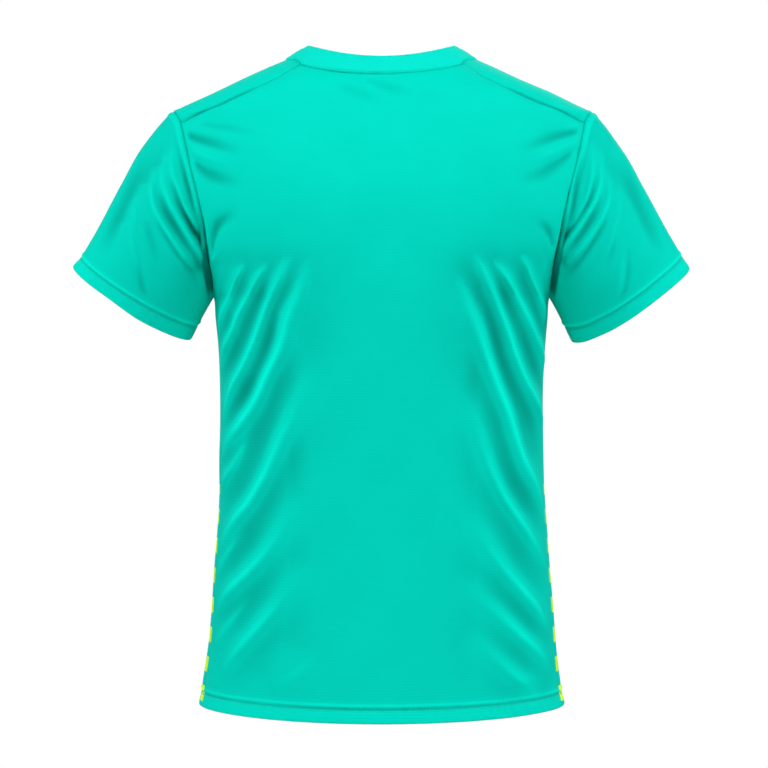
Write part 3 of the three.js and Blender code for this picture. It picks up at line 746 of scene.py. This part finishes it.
def extended(line, by):
    return np.concatenate([line, [line[-1] + unit(line[-1] - line[-2]) * by]])


def blurred(field, across, up):
    """The field averaged over a block of cells, twice."""
    for axis, reach in ((0, up), (1, across), (0, up), (1, across)):
        near = min(reach, field.shape[axis] // 3)
        padded = np.pad(field, [(near, near) if axis == k else (0, 0) for k in (0, 1)], mode="edge")
        total = np.cumsum(np.insert(padded, 0, 0, axis=axis), axis=axis)
        wide = 2 * near + 1
        after = np.take(total, np.arange(wide, total.shape[axis]), axis=axis)
        field = (after - np.take(total, np.arange(total.shape[axis] - wide), axis=axis)) / wide
    return field


def distance_to(line, points):
    tree = KDTree(len(line))
    for k, p in enumerate(line):
        tree.insert(p, k)
    tree.balance()
    return np.array([tree.find(p)[2] for p in points])


def settled(points):
    """The cut as it hangs: the right armhole a little further out behind, the neckband's seam a little wider
    and lower at the shoulders, and the hem a little higher."""
    x, y, z = points.T
    out = 3.0 * smooth(x, 150, 190) * (1 - smooth(x, 228, 264)) * smooth(z, -235, -185) * smooth(-y, -30, 20)
    by_neck = smooth(np.abs(x), 81, 92) * (1 - smooth(np.abs(x), 97, 128))
    by_neck *= smooth(y, -32, -8) * (1 - smooth(y, 20, 55)) * smooth(z, -60, -35)
    up = 1.3 * smooth(-z, 640, 700) - 2.3 * by_neck
    return np.stack([x + out + 5 * np.sign(x) * by_neck, y, z + up], -1)


def crevice(base, normals, away):
    """The deep valley along each armhole's seam above the underarm, alike for the panels that meet there."""
    low = -base[:, 2]
    depth = 4 * smooth(low, 160, 205) + 2.5 * smooth(low, 205, 245)
    depth *= smooth(np.abs(normals[:, 1]), 0.1, 0.5)
    return -depth * bell(away, 0, 3.2 + 1.6 * smooth(low, 225, 260))


def laid_out(line, wide, side):
    """A body fold's line along the girth, where it dies away, and how much it spreads at its start."""
    x, z = np.array(line, float).T
    placed = np.stack([girth(x, z, side < 0), z], -1)
    to_side_seam = abs(placed[-1][0]) > 130 and z[-1] < -235
    if not to_side_seam:
        return placed, *(((0.16, 0.6), -0.6) if z[0] > -235 else ((0.5, 0.5), 0.0))
    placed = extended(extended(placed[::-1], 9)[::-1], 26)
    if placed[0][1] < -300:
        return placed, (0.62, 0.3), 0.8
    return placed, (0.2 if wide < 10 else 0.28, 0.3), -0.4


def beyond_smooth_back(base):
    """0 in the smooth middle of the back, 1 outside it."""
    within = np.interp(base[..., 2], *np.array(SMOOTH_BACK, float).T)
    return smooth(np.abs(base[..., 0]) - within, -14, 14)


def panel_folds(sheet, normals, away):
    base = sheet.base
    lift, light = np.zeros(len(base)), np.zeros(len(base))
    flat = np.stack([girth(base[:, 0], base[:, 2], base[:, 1] < 0), base[:, 2]], -1)
    facing = 0.25 + 0.75 * smooth(np.abs(normals[:, 1]), 0.03, 0.34)
    for side, folds in ((-1, BACK_FOLDS), (1, FRONT_FOLDS)):
        for wide, high, line in folds:
            placed, ends, soft = laid_out(line, wide, side)
            # each fold's height and the painted highlight along its crest
            rise, crest_highlight = fold_height(flat, placed, wide, high, ends, soft)
            lift += facing * rise
            light = np.maximum(light, crest_highlight)
    # the cloth between the crests is drawn in about as much as the crests stand out
    ids = sheet.index[0]
    near = blurred(np.maximum(lift[ids], 0), 11, 7)
    lift[ids] -= (0.2 + 0.8 * beyond_smooth_back(base[ids])) * 0.9 * near**2 / (near + 2)
    beside_seam = 0.5 * bell(away, 4, 2.5) * smooth(base[:, 2], -215, -150)
    lift = lift * smooth(away, 1, 9) + beside_seam + crevice(base, normals, away)
    return lift, light * smooth(away, 1, 9)


def sleeve_folds(sheet, normals, away):
    base = sheet.base
    hand = 1 if sheet is sleeve_sheets[1] else -1
    lift, light = np.zeros(len(base)), np.zeros(len(base))
    for side, folds in ((-1, SLEEVE_FOLDS), (1, SLEEVE_FRONT_FOLDS)):
        facing = smooth(normals[:, 1] * side, 0.0, 0.35)
        for wide, high, start, end, line in folds:
            if line[0][0] * hand < 0:
                continue
            soft = 0.3 if high > 0 else 0.0
            # each fold's height and the painted highlight along its crest
            rise, crest_highlight = fold_height(base[:, [0, 2]], line, wide, high, (start, end), soft, 1)
            lift += facing * rise
            light = np.maximum(light, 1.2 * facing * crest_highlight)
    # the sleeve's edge puffs up beside the armhole seam, with a painted highlight along the puff
    z = base[:, 2]
    puff = np.exp(-(((away - 4.2) / (2.7 + smooth(z, -190, -110))) ** 4)) * smooth(z, -225, -140)
    lift = lift * smooth(away, 0.2, 4) + 1.1 * puff + crevice(base, normals, away)
    return lift, np.maximum(light * smooth(away, 0.5, 4), 0.3 * puff * smooth(z, -190, -120))


def hem_of(sheet):
    return CUFF_HEM if sheet in both_sleeves else HEM


def hem_relief(sheet):
    """A turned hem: a rolled edge that flares a little, a sunk stitch line, and a swell of cloth above it."""
    hem = hem_of(sheet)
    s = sheet.hem_at - hem["turned"]
    relief = 1.1 * bell(s, 3.7, 1.7) - 0.45 * bell(s, 0, 1.9) - 0.3 * bell(sheet.hem_at, 0, 1)
    return relief + hem["flare"] * np.clip(-s / hem["turned"], 0, 1)


def puckers(sheet):
    """Small uneven ripples along a hem, drawn up by its stitching."""
    x, y, z = sheet.base.T
    run = x - 0.6 * z + 0.7 * y if sheet in both_sleeves else np.arctan2(x, -y) * 190
    wave = np.sin(run / 1.9 + 2.2 * np.sin(run / 9.1)) + 0.7 * np.sin(run / 3.3 + 1.7 * np.sin(run / 14.3))
    return 0.16 * wave * (1 - smooth(np.abs(sheet.hem_at - 9), 5, 11))


# How far the cloth sinks at a seam and one, two and more steps of the grid from it
SEAM_SINK = np.array([1.1, 0.35, 0.06, 0])


def seam_relief(sheet):
    """How far each point sinks towards a seam on the sheet's edge."""
    sink = np.zeros(len(sheet.points))
    side_share = 0.7 if sheet in both_sleeves else 1.0
    for number, ids in enumerate(sheet.index):
        rows, columns = ids.shape
        order = np.arange(columns)
        from_side = np.minimum(order, columns - 1 - order)
        from_top = (rows - 1 - np.arange(rows))[:, None]
        if sheet is band_sheet:
            from_side, from_top = np.full(columns, rows), np.arange(rows)[:, None]
        elif sheet is front_sheet and number == 0:
            # the front goes on over the shoulders, so only its neckline is a seam
            from_top = np.where(np.abs(order - columns // 2) <= FRONT_NECK, from_top, rows)
        elif number > 0:
            from_side = order if sheet.points[ids[0, 0], 0] > 0 else columns - 1 - order
        steps = len(SEAM_SINK) - 1
        from_side, from_top = np.minimum(from_side, steps), np.minimum(from_top, steps)
        value = np.maximum(side_share * SEAM_SINK[from_side], SEAM_SINK[from_top])
        np.maximum.at(sink, ids, value)
    if sheet is band_sheet:
        return sink
    x, y, z = np.abs(sheet.base[:, 0]), *sheet.base[:, 1:].T
    on_shoulder = smooth(z, -125, -110) * smooth(216 - x, 0, 4) * smooth(y, 4, -4)
    near_neck = smooth(110 - x, 0, 12)
    sink *= 1 - 0.4 * smooth(z, -170, -110) * (1 - on_shoulder)
    sink *= 1 - 0.85 * on_shoulder * near_neck * smooth(x, 88, 92)
    return sink * (1 + 0.8 * on_shoulder * (1 - near_neck))


def uneven(points):
    """Slow, slight unevenness of hanging cloth."""
    x, y, z = points.T
    # height, how fast it turns across and up, and where it starts
    waves = (
        (0.35, 0.021, 0.013, 0.4),
        (0.30, -0.034, 0.024, 1.9),
        (0.22, 0.052, 0.041, 3.1),
        (0.16, -0.078, 0.066, 5.2),
    )
    return sum(a * np.sin(kx * x + kz * z + 0.6 * kx * y + start) for a, kx, kz, start in waves)


def hung(sheet):
    """The sheet's points as it hangs, with what differs between the left and right sleeves."""
    x, y, z = sheet.points.T.copy()
    if sheet is sleeve_sheets[1]:
        # the right sleeve is a little lower at the arm's inner side and higher at its outer side
        z += (6 * smooth(x, 250, 325) - 4 * smooth(x, 195, 225)) * smooth(-z, 150, 260)
    if sheet is sleeve_sheets[-1]:
        # the left cuff narrows towards its outer end
        z += 4 * smooth(-x, 258, 305) * smooth(-sheet.hem_at, -22, 0) * smooth(-y, -30, 0)
    return settled(np.stack([x, y, z], -1))


def outline_relief(sheet, normals):
    """A millimetre or two off the shoulders, the sleeves' outer edges and the left flank."""
    x, z = sheet.base[:, 0], sheet.base[:, 2]
    off_top = np.where(x < 0, 1.3 + 0.9 * smooth(-x, 150, 200), 1.7)
    lift = -off_top * smooth(normals[:, 2], 0.25, 0.8) * smooth(np.abs(x), 80, 105)
    lift -= 2.0 * smooth(-normals[:, 0], 0.5, 0.9) * smooth(-z, 430, 490) * smooth(z, -690, -630)
    if sheet in both_sleeves:
        outer = smooth(normals[:, 0] * np.sign(x), 0.5, 0.85) * smooth(-z, 100, 140)
        lift -= np.where(x < 0, 2.1 * smooth(z, -250, -180), 1.7 * smooth(z, -215, -170)) * outer
    return lift


def band_relief(sheet):
    """The doubled edge stands up a little beside the seam, and a faint line runs below the top edge."""
    up = np.zeros(len(sheet.points))
    up[sheet.index[0]] = shares(BAND_ROWS)[:, None]
    return 0.55 * bell(up, 0.16, 0.09) - 0.3 * bell(up, 0.84, 0.05)


def shape(sheet, normals):
    """Lift the sheet's points off its cut, and keep its folds, seams and crest highlights for the painted
    light and shade in the knit's colour.
    """
    lift = outline_relief(sheet, normals)
    sheet.fold, sheet.light = np.zeros(len(sheet.points)), np.zeros(len(sheet.points))
    if sheet is band_sheet:
        lift += band_relief(sheet)
    else:
        # folds on either side of an armhole die away at it, so that the panels meet level
        away = distance_to(settled(np.concatenate([ARMHOLE_POINTS, mirrored(ARMHOLE_POINTS)])), sheet.base)
        fold, light = (sleeve_folds if sheet in both_sleeves else panel_folds)(sheet, normals, away)
        calm = smooth(sheet.hem_at, 0, 60)
        sheet.fold, sheet.light = fold * (0.25 + 0.75 * calm), light * calm
        lift += sheet.fold + uneven(sheet.base) + puckers(sheet) + hem_relief(sheet)
    if sheet is back_sheet:
        lift += 0.8 * bell(distance_to(band_grid[0], sheet.base), 3.6, 2.2)
    sheet.sink = seam_relief(sheet)
    sheet.points = sheet.points + normals * (lift - sheet.sink)[:, None]


for sheet in sheets:
    sheet.points = hung(sheet)
    sheet.base = sheet.points.copy()
for sheet, normals in zip(sheets, shared_normals()):
    shape(sheet, normals)
for sheet, normals in zip(sheets, shared_normals()):
    sheet.normals = normals


def paint_light_and_shade(sheet):
    """Painted light and shade for the knit's colour: above 1 a painted highlight on a crest, below 1 painted
    shade in a hollow or seam.
    """
    x, y, z = sheet.base.T
    shade = np.ones(len(sheet.points))
    for ids in sheet.index:
        field = sheet.fold[ids]
        # painted shade in the hollows between the folds and a painted highlight along the crests
        hollow = np.clip(field - blurred(field, 9, 6), -4.0, 0)
        if sheet is back_sheet:
            hollow *= 0.4 + 0.75 * beyond_smooth_back(sheet.base[ids])
            hollow *= 1 - 0.2 * smooth(-z[ids], 430, 570)
        shade[ids] = 1 + 0.19 * hollow + 0.36 * sheet.light[ids]
    # painted light and shade: the sleeves a little darker high up and lighter towards the cuffs
    if sheet in both_sleeves:
        shade *= 0.96 + 0.075 * smooth(-z, 150, 290)
    # painted shade in the seams, darkest low down the armholes, and a thin painted dark line along the
    # shoulder seam
    shade -= (0.02 + 0.13 * smooth(-z, 120, 190)) * np.clip(sheet.sink, 0, 1.1)
    on_shoulder = smooth(z, -122, -114) * smooth(-z, 36, 46) * smooth(206 - np.abs(x), 0, 8)
    shade -= 0.34 * on_shoulder * np.clip(sheet.sink / 2, 0, 1) ** 4
    # the turned hem is painted lighter, for the double cloth that hides the dark inside; the sunk stitch line
    # gets painted shade and the swell above it a painted highlight
    hem = hem_of(sheet)
    s = sheet.hem_at - hem["turned"]
    shade *= 1 + 0.1 * smooth(-s, 0.5, 3) - 0.12 * bell(s, 0.2, 1.7)
    return shade + hem["light"] * bell(s, 3.7, 1.5)


# ---------- from sheets to pieces ----------
def open_edges(faces):
    edges = np.concatenate([faces[:, [k, (k + 1) % 4]] for k in range(4)])
    known = {(a, b) for a, b in edges.tolist() if a != b}
    return sorted((a, b) for a, b in known if (b, a) not in known)


def new_piece(name, vertices, loops, material):
    """An object from points in millimetres."""
    mesh = bpy.data.meshes.new(name)
    mesh.from_pydata((np.array(vertices) / 1000).tolist(), [], loops)
    mesh.shade_smooth()
    mesh.materials.append(material)
    piece = bpy.data.objects.new(name, mesh)
    bpy.context.collection.objects.link(piece)
    return piece


def make_wall(sheet, material):
    """A thin closed shell: the sheet, its copy inside, and a rim along its edges, rounded where free."""
    points, faces, count = sheet.points, sheet.faces, len(sheet.points)
    flat_normals, centre = face_normals(points, faces), points[faces].mean(1)
    into, own = np.zeros((count, 3)), np.zeros((count, 3))
    for k in range(4):
        np.add.at(into, faces[:, k], centre - points[faces[:, k]])
        np.add.at(own, faces[:, k], flat_normals)
    own = unit(own)
    into = unit(into - own * (into * own).sum(1, keepdims=True))
    rim = open_edges(faces)
    edge = np.array(sorted({a for a, _ in rim}))
    outer = points.copy()
    outer[edge] += into[edge] * SEAM_GAP / 2
    mitre = np.clip((sheet.normals * own).sum(1), 0.55, 1)
    inner = outer - sheet.normals * (sheet.wall / mitre)[:, None]
    free = np.isin(np.arange(count), sheet.index[0][-1]) if sheet is band_sheet else sheet.hem_at < 0.01
    middle = (outer + inner) / 2 - into * np.where(free, 0.5 * sheet.wall, 0.0)[:, None]

    turned = [0, 3, 2, 1]
    loops = np.concatenate([faces, faces[:, turned] + count]).tolist()
    uv = np.concatenate([sheet.corners, sheet.corners[:, turned]]).tolist()
    place = np.zeros((count, 2))
    place[faces.reshape(-1)] = sheet.corners.reshape(-1, 2)
    ring = {a: 2 * count + k for k, a in enumerate(edge)}
    for a, b in rim:
        loops += [[b, a, ring[a], ring[b]], [ring[b], ring[a], a + count, b + count]]
        at_a, at_b = place[a].tolist(), place[b].tolist()
        uv += [[at_b, at_a, at_a, at_b]] * 2
    # where a row closes to a point, a corner is met twice and is left out once
    clean_loops, clean_uv = [], []
    for loop, corner in zip(loops, uv):
        keep = [k for k in range(4) if loop[k] != loop[k - 1]]
        if len(keep) >= 3:
            clean_loops.append([loop[k] for k in keep])
            clean_uv += [corner[k] for k in keep]
    piece = new_piece(sheet.name, np.concatenate([outer, inner, middle[edge]]), clean_loops, material)
    mesh = piece.data
    mesh.uv_layers.new(name="cloth").data.foreach_set("uv", (np.array(clean_uv) / 1000).reshape(-1))
    # the painted light and shade of the folds, seams and hems, kept on the points for the knit's colour
    shade = np.ones(len(mesh.vertices))
    shade[:count] = shade[count : 2 * count] = paint_light_and_shade(sheet)
    mesh.attributes.new("painted_shading", "FLOAT", "POINT").data.foreach_set("value", shade)
    mesh.validate()
    mesh.update()
    return piece


def make_stitches(name, lines, material, long=2.7, gap=0.9, thick=0.34):
    """Short threads end to end, half sunk in the cloth, along closed lines of points and normals."""
    vertices, loops = [], []
    sides = 6
    turn = np.linspace(0, 2 * math.pi, sides, endpoint=False)
    # along the thread, how fat it is there, and how far it stands off the cloth
    stations = [(-0.5, 0.35, -0.25), (-0.3, 0.95, 0.1), (0.3, 0.95, 0.1), (0.5, 0.35, -0.25)]
    for points, normals in lines:
        closed = np.concatenate([points, points[:1]])
        closed_normals = np.concatenate([normals, normals[:1]])
        run = run_of(closed)
        count = int(run[-1] // (long + gap))
        pitch = run[-1] / count
        for k in range(count):
            mid = (k + 0.5) * pitch
            p = along(closed, run, np.array([mid - long / 2, mid, mid + long / 2]))
            up, way = unit(along(closed_normals, run, mid)), unit(p[2] - p[0])
            across = np.cross(up, way)
            start = len(vertices)
            for share, fat, lift in stations:
                centre = p[1] + way * share * long + up * lift * thick
                for a in turn:
                    offset = across * math.cos(a) * 1.25 + up * math.sin(a) * 0.8
                    vertices.append(centre + offset * thick * fat)
            for low in range(start, start + 3 * sides, sides):
                for a in range(sides):
                    b = (a + 1) % sides
                    loops.append([low + a, low + b, low + sides + b, low + sides + a])
            loops.append([start + a for a in range(sides - 1, -1, -1)])
            loops.append([start + 3 * sides + a for a in range(sides)])
    return new_piece(name, vertices, loops, material)


# ---------- materials ----------
def srgb(r, g, b):
    return (*[c / 12.92 if c <= 0.04045 else ((c + 0.055) / 1.055) ** 2.4 for c in (r, g, b)], 1)


TEAL, LIME, NECKBAND = srgb(0.0, 0.815, 0.728), srgb(0.81, 1.0, 0.22), srgb(0.02, 0.845, 0.765)
THREAD_DARK, THREAD_LIGHT = srgb(0.0, 0.78, 0.70), srgb(0.0, 0.84, 0.755)
# Metres: between courses and loops; a check's side and spacing, the lowest one's middle and the column's top
COURSE, LOOP = 0.00315, 0.00105
CHECK, CHECK_PITCH, CHECK_START, CHECK_TOP = 0.0168, 0.0326, 0.0138, 0.245


class Nodes:
    """Short calls for building the nodes of a material or the world."""

    def __init__(self, owner, shader="ShaderNodeBsdfPrincipled", output="ShaderNodeOutputMaterial"):
        owner.use_nodes = True
        self.owner, self.tree = owner, owner.node_tree
        self.tree.nodes.clear()
        self.shader = self.add(shader)
        self.output = self.add(output, {0: self.shader.outputs[0]})

    def put(self, node, inputs):
        for socket, value in inputs.items():
            if isinstance(value, bpy.types.NodeSocket):
                self.tree.links.new(value, node.inputs[socket])
            else:
                node.inputs[socket].default_value = value
        return node

    def add(self, kind, inputs=None, **settings):
        node = self.tree.nodes.new(kind)
        for key, value in settings.items():
            setattr(node, key, value)
        return self.put(node, inputs or {})

    def math(self, operation, a, b=0.0, c=0.0):
        return self.add("ShaderNodeMath", {0: a, 1: b, 2: c}, operation=operation).outputs[0]

    def mix(self, factor, a, b, blend="MIX"):
        inputs = {0: factor, 6: a, 7: b}
        return self.add("ShaderNodeMix", inputs, data_type="RGBA", blend_type=blend).outputs[2]

    def noise(self, scale, detail, rough=0.5, place=None):
        inputs = {"Scale": scale, "Detail": detail, "Roughness": rough}
        if place:
            inputs["Vector"] = place
        return self.add("ShaderNodeTexNoise", inputs).outputs[0]

    def bump(self, height, strength, distance):
        inputs = {"Height": height, "Strength": strength, "Distance": distance}
        return self.add("ShaderNodeBump", inputs).outputs[0]

    def waves(self, place, spacing):
        return self.math("SINE", self.math("MULTIPLY", place, 2 * math.pi / spacing))

    def total(self, *parts):
        """The sum of sockets, each multiplied by its share."""
        value = self.math("MULTIPLY", *parts[0])
        for socket, share in parts[1:]:
            value = self.math("ADD", value, self.math("MULTIPLY", socket, share))
        return value


def knit(name, base, checks=False):
    """Fine sports knit: soft courses across the cloth, tiny loops between them, and a faint sheen."""
    n = Nodes(bpy.data.materials.new(name))
    uv = n.add("ShaderNodeUVMap", uv_map="cloth").outputs[0]
    u, v = n.add("ShaderNodeSeparateXYZ", {0: uv}).outputs[:2]
    course = n.waves(v, COURSE)
    loops = n.math("MULTIPLY", n.waves(u, LOOP), n.waves(v, LOOP))
    slow, fine = n.noise(16.0, 3.0, 0.55, uv), n.noise(900.0, 2.0, 0.6, uv)
    # brightness of the yarn, from slow dye variation, the courses and the loops
    tone = n.math("ADD", n.total((slow, 0.5), (course, 0.15), (loops, 0.1), (fine, 0.34)), 0.07)
    light = (*[min(1, c * 1.045) for c in base[:3]], 1)
    dark = (*[c * 0.915 for c in base[:3]], 1)
    colour = n.mix(tone, dark, light)
    if checks:
        colour = n.mix(check_mask(n, u, v), colour, LIME)
    # the painted light and shade of the folds, seams and hems, multiplied into the colour
    painted_shading = n.add("ShaderNodeAttribute", attribute_name="painted_shading").outputs["Fac"]
    looks = {
        "Base Color": n.mix(1.0, colour, painted_shading, "MULTIPLY"),
        "Roughness": n.math("MULTIPLY_ADD", fine, 0.14, 0.62),
        "Normal": n.bump(n.total((course, 0.35), (loops, 0.5), (fine, 0.5)), 0.35, 0.00016),
        "Specular IOR Level": 0.015,
        "Sheen Weight": 0.02,
        "Sheen Roughness": 0.4,
        "Sheen Tint": (0.0, 1.0, 0.85, 1),
    }
    n.put(n.shader, looks)
    return n.owner


def check_mask(n, u, v):
    """One column of square checks up the front beside each side seam, up to CHECK_TOP above the hem."""
    # the front's half width between its side seams, at the hem, and how it changes up to the waist
    waist = len(HEM_STEPS) + 50
    at_hem, at_waist = (run_along(front_grid[k : k + 1])[0, -1] / 2000 for k in (0, waist))
    seam = n.math("MULTIPLY_ADD", v, (at_waist - at_hem) / (front_uv[waist, 0, 1] / 1000), at_hem)
    from_seam = n.math("SUBTRACT", seam, n.math("ABSOLUTE", u))
    across = n.math("LESS_THAN", n.math("ABSOLUTE", n.math("SUBTRACT", from_seam, CHECK / 2)), CHECK / 2)
    beat = n.math("PINGPONG", n.math("SUBTRACT", v, CHECK_START), CHECK_PITCH / 2)
    up = n.math("MULTIPLY", n.math("LESS_THAN", beat, CHECK / 2), n.math("LESS_THAN", v, CHECK_TOP))
    return n.math("MULTIPLY", across, up)


def thread_material():
    n = Nodes(bpy.data.materials.new("thread"))
    coils = {"Scale": 900.0, "Distortion": 1.0}
    twist = n.add("ShaderNodeTexWave", coils, bands_direction="DIAGONAL").outputs[0]
    looks = {
        "Base Color": n.mix(n.noise(2600.0, 2.0), THREAD_DARK, THREAD_LIGHT),
        "Roughness": 0.55,
        "Normal": n.bump(twist, 0.3, 0.0001),
        "Specular IOR Level": 0.25,
    }
    n.put(n.shader, looks)
    return n.owner


jersey = knit("knit_jersey", TEAL)
jersey_front = knit("knit_jersey_checked", TEAL, checks=True)
band_knit = knit("knit_neckband", NECKBAND)
thread = thread_material()

# ---------- pieces ----------
for sheet, material, node, slot in (
    (back_sheet, jersey, "back_panel", "jersey"),
    (front_sheet, jersey_front, "front_panel", "jersey"),
    (sleeve_sheets[-1], jersey, "sleeve_left", "jersey"),
    (sleeve_sheets[1], jersey, "sleeve_right", "jersey"),
    (band_sheet, band_knit, "neckband", "neckband"),
):
    piece = make_wall(sheet, material)
    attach(piece, "root")
    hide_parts(node)


def row_line(sheet, steps, step):
    """The points and normals of the grid's row at one distance from the edge."""
    ids = sheet.index[0][steps.index(step)]
    return np.array([sheet.points[ids], sheet.normals[ids]])


hem_lines = [
    np.concatenate([row_line(sheet, HEM_STEPS, step) for sheet in (back_sheet, front_sheet)], 1)
    for step in HEM["stitches"]
]
hem_stitches = make_stitches("hem_stitches", hem_lines, thread)
cuff_stitches = {}
for hand, word in ((-1, "left"), (1, "right")):
    lines = [row_line(sleeve_sheets[hand], CUFF_STEPS, step)[:, :-1] for step in CUFF_HEM["stitches"]]
    cuff_stitches[hand] = make_stitches(f"cuff_stitches_{word}", lines, thread)
for piece in (hem_stitches, *cuff_stitches.values()):
    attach(piece, "root")


# ---------- floor, light and camera ----------
WALL_GLOW = 0.5
SKY_LOW, SKY_HIGH = 0.03, 0.08
# name, place, target, width, height, watts
LIGHTS = [
    ("key", (0, -1.6, 1.3), (0, 0, -0.15), 0.7, 0.7, 17),
    ("front_low", (0, -3.2, -1.2), (0, 0, -0.4), 2.4, 1.0, 74),
    ("high_left", (-2.2, -0.8, 1.5), (0, 0, -0.3), 1.0, 1.2, 39),
    ("high_right", (2.2, -0.8, 1.5), (0, 0, -0.3), 1.0, 1.2, 39),
    ("side_left", (-2.7, -0.8, 0), (0, 0, -0.4), 1.0, 1.4, 17),
    ("side_right", (2.7, -0.8, 0), (0, 0, -0.4), 1.0, 1.4, 17),
    ("beyond", (0.6, 3.2, 1.4), (0, 0, -0.4), 2.4, 1.6, 60),
]


def seen_white(n, kind):
    """White to the eye, dim as a source of light, so that the backdrop doesn't flatten the folds."""
    white = n.add(kind, {0: (1, 1, 1, 1), 1: 1.0}).outputs[0]
    to_eye = n.add("ShaderNodeLightPath").outputs["Is Camera Ray"]
    mix = n.add("ShaderNodeMixShader", {0: to_eye, 1: n.shader.outputs[0], 2: white})
    n.put(n.output, {0: mix.outputs[0]})


def backdrop(name, glow):
    n = Nodes(bpy.data.materials.new(name))
    looks = {"Base Color": (0.28, 0.28, 0.28, 1), "Roughness": 0.95, "Emission Color": (1, 1, 1, 1)}
    n.put(n.shader, {**looks, "Emission Strength": glow})
    seen_white(n, "ShaderNodeEmission")
    return n.owner


def make_floor():
    """A pale floor that bends up into a bright wall behind the shirt."""
    width, front, back, level, high, bend = 14000, -6000, 5000, -1250, 7000, 1600
    turn = np.linspace(0, math.pi / 2, 13)
    bent = zip(back - bend + bend * np.sin(turn), level + bend - bend * np.cos(turn))
    profile = [(front, level), *bent, (back, high)]
    vertices = [(x, y, z) for y, z in profile for x in (-width, width)]
    faces = [(2 * k, 2 * k + 1, 2 * k + 3, 2 * k + 2) for k in range(len(profile) - 1)]
    floor = new_piece("floor", vertices, faces, backdrop("floor_white", 0.0))
    floor.data.materials.append(backdrop("wall_white", WALL_GLOW))
    for face in floor.data.polygons:
        face.material_index = min(face.index, 1)


def make_world():
    world = bpy.context.scene.world = bpy.data.worlds.new("studio")
    n = Nodes(world, "ShaderNodeBackground", "ShaderNodeOutputWorld")
    place = n.add("ShaderNodeTexCoord").outputs["Generated"]
    height = n.add("ShaderNodeSeparateXYZ", {0: place}).outputs[2]
    ramp = n.add("ShaderNodeMapRange", {0: height, 1: -0.5, 2: 1.0, 3: SKY_LOW, 4: SKY_HIGH})
    n.put(n.shader, {1: ramp.outputs[0]})
    seen_white(n, "ShaderNodeBackground")


def area_light(name, place, target, wide, tall, power):
    light = bpy.data.lights.new(name, "AREA")
    light.shape, light.size, light.size_y, light.energy = "RECTANGLE", wide, tall, power
    lamp = bpy.data.objects.new(name, light)
    lamp.location = place
    lamp.visible_camera = False
    lamp.rotation_euler = (Vector(target) - Vector(place)).to_track_quat("-Z", "Y").to_euler()
    bpy.context.collection.objects.link(lamp)


make_floor()
make_world()
for light in LIGHTS:
    area_light(*light)
camera_data = bpy.data.cameras.new("camera")
camera_data.sensor_width = 36
camera_data.lens = 106.53
camera = bpy.data.objects.new("camera", camera_data)
camera.location = (0.00275, -2.5, -0.3592)
camera.rotation_euler = (math.radians(90), 0, 0)
bpy.context.collection.objects.link(camera)
bpy.context.scene.camera = camera
bpy.context.scene.view_settings.view_transform = "Standard"
